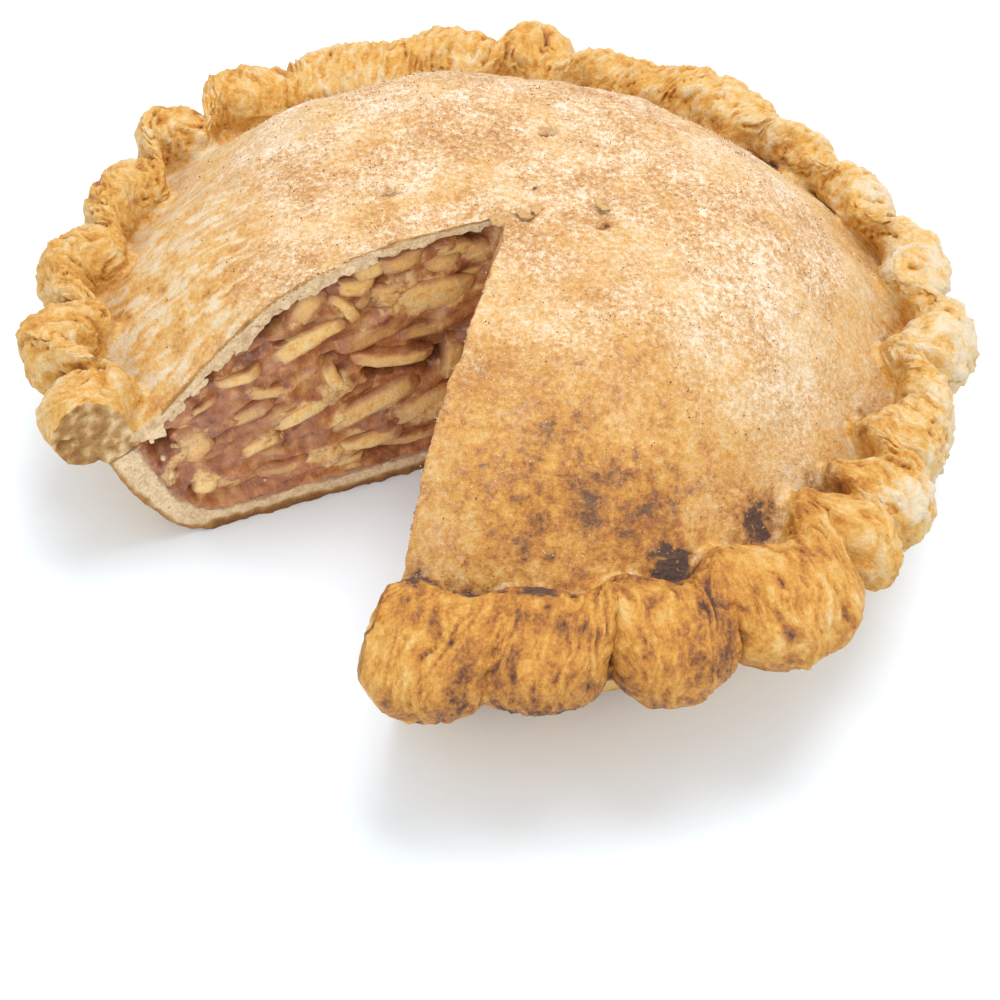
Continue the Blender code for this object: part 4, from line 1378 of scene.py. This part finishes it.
def sauce_relief_left(along, height):
    """The filling's cut face on the left, with its hollows."""
    relief = sauce_relief(along, height, 0.0)
    ragged = 0.22 * rough(spots_on(along, height), 3.0, 2, 94)
    for distance, level, half_length, half_height, tilt, depth in HOLLOWS:
        u, v = tilted(along - distance, height - level, tilt)
        reach = np.hypot(u / half_length, v / half_height) + ragged
        relief -= depth * (1.0 - ease(reach, 0.4, 1.1))
    relief = sauce_borders(relief, along, height, LEFT_CUT, 0.0)
    return np.minimum(relief - SAUCE_INSET, 0.7)


def sauce_relief_right(along, height):
    """The filling's cut face on the right."""
    relief = sauce_relief(along, height, 60.0)
    gaps = rough(spots_on(along / 2.2, height, 9.0), 7.0, 2, 95)
    relief = sauce_borders(relief - 5.0 * ease(gaps, 0.45, 0.75), along, height, RIGHT_CUT, 50.0)
    return np.minimum(relief - SAUCE_INSET, 0.7) - 0.9


def sauce_colour(tree, place, filling):
    """The colour of the sauce at each place, shared by the sauce and the slices that it coats."""
    large = noise_node(tree, place, 10.0, detail=4.0, roughness=0.6)
    medium = noise_node(tree, place, 3.2, detail=4.0, roughness=0.6)
    level = total(tree, around(tree, large, 1.1), around(tree, medium, 0.9), 0.5)
    stops = (
        (0.24, (0.20, 0.058, 0.022)),
        (0.42, tuple(filling.sauce)),
        (0.58, (0.53, 0.22, 0.078)),
        (0.76, (0.70, 0.40, 0.15)),
    )
    colour = ramp(tree, level, stops)
    mauve = span(tree, noise_node(tree, place, 15.0, detail=2.0), 0.46, 0.62)
    return blend(tree, colour, (0.38, 0.155, 0.078), product(tree, mauve, 0.35)), medium


def fruit_colour(tree, medium, fine, filling):
    """The colour of the cooked fruit at each place."""
    level = total(tree, around(tree, medium, 0.9), around(tree, fine, 0.5), 0.5)
    stops = (
        (0.26, (0.70, 0.35, 0.10)),
        (0.46, tuple(filling.fruit)),
        (0.62, (0.97, 0.72, 0.33)),
        (0.80, (0.97, 0.84, 0.54)),
    )
    return ramp(tree, level, stops)


def wet_shader(tree, shader, height, fine):
    """The wet, slightly see-through surface of cooked fruit."""
    tree.links.new(span(tree, fine, 0.3, 0.7, 0.16, 0.40), shader.inputs["Roughness"])
    shader.inputs["Specular IOR Level"].default_value = 0.42
    shader.inputs["Coat Weight"].default_value = 0.35
    shader.inputs["Coat Roughness"].default_value = 0.10
    shader.inputs["Subsurface Weight"].default_value = 0.15
    shader.inputs["Subsurface Radius"].default_value = (0.004, 0.0016, 0.0009)
    shader.inputs["Subsurface Scale"].default_value = 1.0
    bump(tree, shader, height, 1.0, 0.6)


def sauce_material(filling):
    """Thick glossy sauce, redder and darker in its hollows as painted shade, with paler fruit pulp in it."""
    material, tree, shader = new_material("fruit_sauce")
    place = place_of(tree)
    fine = noise_node(tree, place, 0.9, detail=4.0, roughness=0.6)
    colour, medium = sauce_colour(tree, place, filling)
    flesh = total(tree, attribute(tree, "flesh"), around(tree, medium, 1.1), around(tree, fine, 0.4))
    fruit = fruit_colour(tree, medium, fine, filling)
    colour = blend(tree, colour, fruit, span(tree, flesh, 0.42, 1.05, 0.0, 0.7))
    # Near-black where the cut face lies deep in a hollow: painted shade.
    colour = blend(tree, colour, (0.065, 0.018, 0.012), product(tree, attribute(tree, "deep"), 0.92))
    tree.links.new(colour, shader.inputs["Base Color"])
    wet_shader(tree, shader, total(tree, medium, product(tree, fine, 0.4)), fine)
    return material


def fruit_material(filling):
    """Soft cooked fruit, pale yellow and moist, coated with sauce towards its edges."""
    material, tree, shader = new_material("fruit_flesh")
    place = place_of(tree)
    fine = noise_node(tree, place, 1.0, detail=4.0, roughness=0.65)
    sauce, medium = sauce_colour(tree, place, filling)
    cover = total(tree, attribute(tree, "cover"), around(tree, medium, 1.3), around(tree, fine, 0.4))
    colour = blend(tree, fruit_colour(tree, medium, fine, filling), sauce, span(tree, cover, 0.05, 0.8))
    tree.links.new(colour, shader.inputs["Base Color"])
    wet_shader(tree, shader, total(tree, medium, product(tree, fine, 0.5)), fine)
    return material


class PIE_OT_fruit_sauce(bpy.types.Operator):
    """Builds the block of sauce with its lumpy cut faces and hollows"""

    bl_idname = "pie.fruit_sauce"
    bl_label = "Sauce"

    def execute(self, context):
        filling = context.scene.pie_filling
        roof = [(radius, 0.0) for radius in np.linspace(0.0, 93.0, 50)]
        wall = [(radius + 0.7, height) for radius, height in BOWL_INSIDE[::-1]]
        profile = np.array(roof + wall + [(0.0, FLOOR_THICKNESS + 0.6)])
        profile[-4:, 1] -= 0.7
        runs = runs_along(profile)
        rows = np.unique(np.concatenate([runs, np.linspace(runs[len(roof)], runs[-1], 90)]))

        def place(way, angle):
            radius = np.interp(way, runs, profile[:, 0])
            under_roof = way < runs[len(roof) - 1] + 0.01
            height = np.where(under_roof, roof_at(radius, angle) - GAP, np.interp(way, runs, profile[:, 1]))
            x, y = polar(angle, radius)
            return np.stack([x, y, height], 1)

        body = wedged_sheet("sauce_core", rows, 60, [], place)
        body.data.materials.append(sauce_material(filling))
        body.data.materials.append(body.data.materials[0])
        close_cuts(body, CUT_GRID)
        roughen_cut(body, (sauce_relief_left, sauce_relief_right), 10.0)
        points = points_of(body)
        # How deep each place lies in a hollow of a cut face, for the sauce's painted shade.
        deep = np.zeros(len(points))
        for angle, side in CUTS:
            along, away = face_place(points, angle, side)
            near = (along > -2.0) & (away > -14.0) & (away < 3.0)
            deep = np.where(near, ease(-away - SAUCE_INSET, 1.2, 6.5), deep)
        add_attribute(body, "deep", deep)
        along, away = face_place(points, LEFT_CUT, 1.0)
        seen = (along > -2.0) & (away > -6.0) & (away < 3.0)
        add_attribute(body, "flesh", flesh_field(along, points[:, 2]) * seen)
        finish_mesh(body, 50.0)
        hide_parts("fruit_filling")
        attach(body, "root")
        return {"FINISHED"}


def slice_blank():
    """One fruit slice, one unit each way: a rounded slab."""
    bpy.ops.mesh.primitive_cube_add(size=1.0)
    blank = bpy.context.object
    with editing(blank):
        bpy.ops.mesh.bevel(offset=0.14, segments=2, profile=0.6)
        bpy.ops.mesh.select_all(action="SELECT")
        bpy.ops.mesh.subdivide(number_cuts=3)
    return blank


def laid_slice(blank, angle, side, row, draw):
    """A copy of the blank, shaped as one slice and laid in a cut face."""
    distance, height, length, thickness, tilt, proud, cover = row
    body = copied(blank)
    unit = points_of(body)
    u, w = unit[:, 0] * 2.0, unit[:, 2] * 2.0
    taper = (1.0 - draw.uniform(0.25, 0.6) * np.abs(u) ** 3.0) * (1.0 - 0.25 * u * draw.uniform(-1.0, 1.0))
    bow = draw.uniform(-0.10, 0.16) * length * (u**2 - 0.4)
    out = unit[:, 0] * length * 1.06
    up = unit[:, 2] * thickness * 1.16 * taper + bow
    deep = (unit[:, 1] + 0.5) * SLICE_DEPTH
    edge = np.maximum(np.abs(u), np.abs(w))
    back = ease(unit[:, 1], -0.2, 0.5)
    up = up * (1.0 - 0.25 * back) + deep * draw.uniform(-0.18, 0.12)
    lump = np.stack([out, up, deep], 1) + draw.uniform(0.0, 90.0)
    up = up + 0.6 * rough(lump, 6.0, 2, 101) + 0.25 * rough(lump, 2.4, 2, 102)
    face_tilt = draw.uniform(-0.07, 0.07) * out + draw.uniform(-0.18, 0.18) * up
    sunk = 1.1 * ease(edge, 0.6, 1.0)
    deep = deep + 0.55 * rough(lump, 4.5, 2, 103) + face_tilt + (1.0 - back) * sunk
    lean = math.radians(tilt)
    along = distance + out * math.cos(lean) - up * math.sin(lean)
    level = height + out * math.sin(lean) + up * math.cos(lean)
    along = np.clip(along, 0.8, 99.5)
    level = np.minimum(level, roof_at(along, np.full(len(along), angle)) - 0.5)
    level = np.maximum(level, FLOOR_THICKNESS + 1.0)
    inset = SAUCE_INSET - 0.85 * proud + deep
    turn = math.radians(angle)
    x = along * math.cos(turn) + side * math.sin(turn) * inset
    y = along * math.sin(turn) - side * math.cos(turn) * inset
    set_points(body, np.stack([x, y, level], 1))
    add_attribute(body, "cover", cover + 0.62 * ease(edge, 0.5, 1.0) + 0.5 * ease(unit[:, 1], -0.45, 0.1))
    return body


def loose_slices(draw, count):
    """Half-covered slices for a cut face, in tilted layers."""
    rows = []
    for _ in range(count):
        height = draw.uniform(12.0, 78.0)
        far = 88.0 - 1.0 * max(0.0, height - 42.0)
        distance = draw.uniform(8.0, max(12.0, far))
        size = (draw.uniform(9.0, 20.0), draw.uniform(3.0, 6.0), draw.uniform(-36.0, 14.0))
        rows.append((distance, height, *size, draw.uniform(0.3, 0.9), draw.uniform(0.1, 0.4)))
    return rows


class PIE_OT_fruit_slices(bpy.types.Operator):
    """Lays the fruit slices in the cut faces"""

    bl_idname = "pie.fruit_slices"
    bl_label = "Fruit slices"

    def execute(self, context):
        filling = context.scene.pie_filling
        draw = random.Random(23)
        blank = slice_blank()
        right = []
        for row in loose_slices(draw, 20):
            distance, height, length, thickness, tilt, _, _ = row
            size = (length * 1.5, thickness * 1.3, tilt)
            right.append((distance, height, *size, draw.uniform(-0.2, 0.4), draw.uniform(0.0, 0.3)))
        left_rows = list(LEFT_SLICES) + loose_slices(draw, filling.small_slices)
        right_rows = right + loose_slices(draw, filling.small_slices)
        pieces = []
        for (angle, side), rows in zip(CUTS, (left_rows, right_rows)):
            pieces += [laid_slice(blank, angle, side, row, draw) for row in rows]
        bpy.data.objects.remove(blank)
        body = joined(pieces, "fruit_slices")
        body.data.materials.append(fruit_material(filling))
        finish_mesh(body, 60.0)
        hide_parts("fruit_filling")
        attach(body, "root")
        return {"FINISHED"}


# Flakes, crumbs, sugar and spice

# Torn flakes of pastry on the lid: (x, y, z, length, width, turn, pitch, curl).
LID_FLAKES = (
    (-1.2, -2.4, 85.6, 6.0, 4.0, 20.0, 14.0, 0.5),
    (4.0, -1.2, 86.8, 5.0, 3.4, 140.0, 26.0, 0.8),
    (7.2, 1.6, 86.6, 3.6, 2.6, 60.0, 18.0, 0.6),
    (24.0, 5.2, 86.7, 4.4, 3.2, 100.0, 18.0, 0.6),
)

# Ragged flakes that hang from the lid's cut edge: (distance, length, drop).
EDGE_FLAKES = (
    (71.0, 10.0, 3.6),
    (64.5, 7.0, 2.4),
    (58.5, 6.0, 2.0),
    (52.5, 9.0, 3.4),
    (47.0, 6.0, 2.2),
    (42.0, 7.0, 2.8),
    (37.5, 5.0, 2.0),
    (77.0, 7.0, 2.4),
    (84.0, 6.0, 2.2),
    (90.5, 7.0, 2.8),
    (31.0, 5.0, 1.6),
    (24.0, 5.0, 1.5),
    (96.5, 6.0, 3.0),
)


def unit_plate():
    """A plate one unit long and wide, with enough faces to tear."""
    bpy.ops.mesh.primitive_cube_add(size=1.0)
    plate = bpy.context.object
    with editing(plate):
        bpy.ops.mesh.subdivide(number_cuts=9)
    return plate


def torn(plate, size, curl, draw):
    """A copy of the plate with torn edges and a curl, and its points."""
    body = copied(plate)
    unit = points_of(body)
    seed = draw.uniform(0.0, 900.0)
    length, width, thickness = size
    round_way = np.stack([unit[:, 0] * 3.0, unit[:, 1] * 3.0, 0 * unit[:, 0] + seed], 1)
    shrink = 1.0 - 0.25 * np.abs(2.0 * unit[:, 0]) ** 2 + 0.55 * rough(round_way, 1.0, 2, 131)
    points = unit * np.array([length, width, thickness])
    points[:, 1] *= shrink
    points[:, 0] *= 1.0 + 0.3 * rough(round_way + 7.0, 1.2, 2, 132)
    rim = np.maximum(np.abs(unit[:, 0]), np.abs(unit[:, 1])) * 2.0
    points[:, 2] *= mix(1.0, 0.35, ease(rim, 0.5, 1.0))
    points[:, 2] += curl * (unit[:, 0] * 2.0) ** 2 + 0.5 * rough(points + seed, 2.6, 2, 133)
    return body, points


def crumb(blank, size, draw):
    """A small lump of pastry and its points."""
    body = copied(blank)
    stretch = [draw.uniform(0.7, 1.2), draw.uniform(0.7, 1.2), draw.uniform(0.5, 0.9)]
    points = points_of(body) * size * np.array(stretch)
    points = points * (1.0 + 0.5 * rough(points + draw.uniform(0.0, 900.0), size, 2, 134))[:, None]
    return body, points


class PIE_OT_pastry_flakes(bpy.types.Operator):
    """Lays torn flakes and crumbs of pastry on the lid and along the cut edges"""

    bl_idname = "pie.pastry_flakes"
    bl_label = "Flakes and crumbs"

    def execute(self, context):
        draw = random.Random(7)
        plate = unit_plate()
        bpy.ops.mesh.primitive_ico_sphere_add(subdivisions=2, radius=0.5)
        blank = bpy.context.object
        pieces = []
        for x, y, z, length, width, turn, pitch, curl in LID_FLAKES:
            body, points = torn(plate, (length, width, 0.8), curl, draw)
            spin = Matrix.Rotation(math.radians(turn), 3, "Z") @ Matrix.Rotation(math.radians(pitch), 3, "X")
            set_points(body, points @ np.array(spin).T + np.array([x, y, z]))
            pieces.append((body, 0.42))
        turn = math.radians(LEFT_CUT)
        out = np.array([math.cos(turn), math.sin(turn), 0.0])
        free = np.array([-math.sin(turn), math.cos(turn), 0.0])
        up = np.array([0.0, 0.0, 1.0])
        for distance, length, drop in EDGE_FLAKES:
            body, points = torn(plate, (length, drop * 1.6, 0.7), draw.uniform(-0.6, 0.4), draw)
            ends = roof_at(np.array([distance - 2.0, distance + 2.0]), np.full(2, LEFT_CUT))
            slope = math.atan2(ends[1] - ends[0], 4.0)
            tip = draw.uniform(0.1, 0.5)
            long_way = out * math.cos(slope) + up * math.sin(slope)
            flat_way = up * math.cos(slope) - out * math.sin(slope)
            down_way = -flat_way * math.cos(tip) + free * math.sin(tip)
            thin_way = np.cross(long_way, down_way)
            middle = out * distance + up * (ends.mean() - 0.1 * drop) + free * draw.uniform(-0.9, -0.1)
            points = points @ np.array([long_way, down_way, thin_way])
            set_points(body, points + middle)
            pieces.append((body, draw.uniform(0.0, 0.25)))
        places = [(draw.uniform(89.0, 97.0), draw.uniform(30.0, 41.0), draw.uniform(0.9, 2.4)) for _ in range(6)]
        places += [(draw.uniform(10.0, 95.0), draw.uniform(9.0, 60.0), draw.uniform(0.4, 1.0)) for _ in range(18)]
        for distance, level, size in places:
            roof = float(roof_at(np.array([distance]), np.array([LEFT_CUT]))[0])
            body, points = crumb(blank, size, draw)
            middle = out * distance + up * min(level, roof - 1.0) - free * draw.uniform(1.2, 2.4)
            set_points(body, points + middle)
            pieces.append((body, draw.uniform(0.05, 0.5)))
        for body, toast in pieces:
            add_attribute(body, "toast", np.full(len(body.data.vertices), toast))
            add_attribute(body, "stain", np.zeros(len(body.data.vertices)))
        for blank_body in (plate, blank):
            bpy.data.objects.remove(blank_body)
        body = joined([body for body, _ in pieces], "pastry_flakes")
        body.data.materials.append(bpy.data.materials["crust_crumb"])
        finish_mesh(body, 50.0)
        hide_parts("top_crust")
        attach(body, "root")
        return {"FINISHED"}


def scattered(name, count, sizes, sink, seed):
    """Small eight-sided grains on the lid, thickest where the crust holds most sugar."""
    lid = bpy.data.objects["top_crust_skin"]
    points, normals, sugar = points_of(lid), normals_of(lid), read_attribute(lid, "sugar")
    draw = np.random.default_rng(seed)
    slope_ok = (normals[:, 2] > 0.5) & (sugar > 0.05)
    patch = np.clip(0.45 + 1.2 * rough(points / MM, 7.0, 3, seed), 0.02, 1.2)
    spacing = np.maximum(np.hypot(points[:, 0], points[:, 1]) / MM, 12.0)
    weight = slope_ok * sugar * patch * spacing
    chosen = draw.choice(len(points), size=count, p=weight / weight.sum())
    middle = points[chosen] + MM * 0.5 * draw.standard_normal((count, 3)) * np.array([1.0, 1.0, 0.0])
    size = MM * draw.uniform(sizes[0], sizes[1], (count, 1))
    middle = middle + normals[chosen] * size * sink
    corners = np.array([(1, 0, 0), (-1, 0, 0), (0, 1, 0), (0, -1, 0), (0, 0, 1), (0, 0, -1)], dtype=float)
    frames = np.linalg.qr(draw.standard_normal((count, 3, 3)))[0]
    stretch = draw.uniform(0.7, 1.2, (count, 1, 3))
    grains = np.einsum("nij,nkj->nki", frames, corners[None] * stretch) * size[:, :, None] + middle[:, None]
    faces = np.array([(0, 2, 4), (2, 1, 4), (1, 3, 4), (3, 0, 4), (2, 0, 5), (1, 2, 5), (3, 1, 5), (0, 3, 5)])
    every = (faces[None] + 6 * np.arange(count)[:, None, None]).reshape(-1, 3)
    body = linked(name, grains.reshape(-1, 3).tolist(), [], every.tolist())
    outward(body)
    body.select_set(False)
    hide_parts("top_crust")
    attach(body, "root")
    return body


class PIE_OT_sugar_grains(bpy.types.Operator):
    """Strews sugar grains and ground spice on the lid"""

    bl_idname = "pie.sugar_grains"
    bl_label = "Sugar and spice"

    def execute(self, context):
        topping = context.scene.pie_topping
        share = 1.0
        kinds = (
            ("sugar_grains", topping.grains, (0.10, 0.21), 0.25, 3, "sugar", (0.80, 0.68, 0.52), 0.35),
            ("spice_specks", topping.specks, (0.12, 0.26), 0.1, 5, "spice", (0.13, 0.045, 0.022), 0.8),
        )
        for name, count, sizes, sink, seed, finish, colour, roughness in kinds:
            body = scattered(name, int(count * share), sizes, sink, seed)
            material, _, shader = new_material(finish)
            shader.inputs["Base Color"].default_value = (*colour, 1.0)
            shader.inputs["Roughness"].default_value = roughness
            body.data.materials.append(material)
        return {"FINISHED"}


# The lights: name, place and size in metres, and power as a share of the main one's.
LIGHTS = (
    ("key", (0.10, 0.24, 1.25), 0.7, 1.0),
    ("right", (1.10, -0.10, 0.60), 0.5, 0.10),
    ("left", (-1.00, -0.80, 0.70), 0.6, 0.05),
    ("front", (-0.32, -1.10, 0.60), 0.4, 0.18),
)
LIT_PLACE = (0.0, 0.0, 0.03)

# The camera: its lens in millimetres, the rows of its turn, and its place.
CAMERA_LENS = 68.83
CAMERA_TURN = (
    (0.99733711, -0.0729293, 0.0),
    (0.05390394, 0.73715775, -0.67356723),
    (0.04912279, 0.6717736, 0.73912596),
)
CAMERA_PLACE = (3.304 + AXIS[0], -380.061 + AXIS[1], 395.612)


class PIE_OT_stage(bpy.types.Operator):
    """Sets the floor, the lights, the world and the camera"""

    bl_idname = "pie.stage"
    bl_label = "Stage"

    def execute(self, context):
        stage = context.scene.pie_stage
        bpy.ops.mesh.primitive_plane_add(size=8.0, location=(0.0, 0.0, 0.0))
        floor = bpy.context.object
        floor.name = "floor"
        material, _, shader = new_material("floor_paper")
        shader.inputs["Base Color"].default_value = (*stage.floor, 1.0)
        shader.inputs["Roughness"].default_value = 0.65
        shader.inputs["Specular IOR Level"].default_value = 0.1
        floor.data.materials.append(material)

        world = bpy.data.worlds.new("soft_sky")
        world.use_nodes = True
        background = world.node_tree.nodes["Background"]
        background.inputs["Color"].default_value = (1.0, 1.0, 1.0, 1.0)
        background.inputs["Strength"].default_value = stage.sky
        context.scene.world = world

        for name, place, size, share in LIGHTS:
            bpy.ops.object.light_add(type="AREA", location=place)
            light = bpy.context.object
            light.name = name
            light.data.size = size
            light.data.energy = stage.key * share
            way = Vector(LIT_PLACE) - Vector(place)
            light.rotation_euler = way.to_track_quat("-Z", "Y").to_euler()

        camera = bpy.data.objects.new("camera", bpy.data.cameras.new("camera"))
        context.scene.collection.objects.link(camera)
        camera.data.sensor_width = 36.0
        camera.data.lens = CAMERA_LENS
        camera.data.clip_start = 0.01
        matrix = Matrix.Identity(4)
        for row in range(3):
            matrix[row] = (*CAMERA_TURN[row], CAMERA_PLACE[row] * MM)
        camera.matrix_world = matrix
        context.scene.camera = camera
        context.scene.view_settings.view_transform = "Standard"
        context.scene.view_settings.look = "None"
        return {"FINISHED"}


class PIE_PT_panel(bpy.types.Panel):
    """The pie's sizes, colours and pieces"""

    bl_idname = "PIE_PT_panel"
    bl_label = "Fruit pie"
    bl_space_type = "VIEW_3D"
    bl_region_type = "UI"
    bl_category = "Pie"

    def draw(self, context):
        scene = context.scene
        for group in (scene.pie_crust, scene.pie_filling, scene.pie_topping, scene.pie_stage):
            box = self.layout.box()
            for name in group.__annotations__:
                box.prop(group, name)
        for operator in OPERATORS:
            self.layout.operator(operator.bl_idname)


GROUPS = {"pie_crust": PieCrust, "pie_filling": PieFilling, "pie_topping": PieTopping, "pie_stage": PieStage}
OPERATORS = (
    PIE_OT_top_crust,
    PIE_OT_bottom_crust,
    PIE_OT_fruit_sauce,
    PIE_OT_fruit_slices,
    PIE_OT_pastry_flakes,
    PIE_OT_sugar_grains,
    PIE_OT_stage,
)


def register():
    """Adds the classes and the scene's settings."""
    for kind in (*GROUPS.values(), *OPERATORS, PIE_PT_panel):
        bpy.utils.register_class(kind)
    for name, kind in GROUPS.items():
        setattr(bpy.types.Scene, name, bpy.props.PointerProperty(type=kind))


def unregister():
    """Takes the classes and the scene's settings away."""
    for name in GROUPS:
        delattr(bpy.types.Scene, name)
    for kind in (PIE_PT_panel, *reversed(OPERATORS), *reversed(GROUPS.values())):
        bpy.utils.unregister_class(kind)


def main():
    """Builds every piece and the stage."""
    register()
    for operator in (
        bpy.ops.pie.top_crust,
        bpy.ops.pie.bottom_crust,
        bpy.ops.pie.fruit_sauce,
        bpy.ops.pie.fruit_slices,
        bpy.ops.pie.pastry_flakes,
        bpy.ops.pie.sugar_grains,
        bpy.ops.pie.stage,
    ):
        operator()


if __name__ == "__main__":
    main()
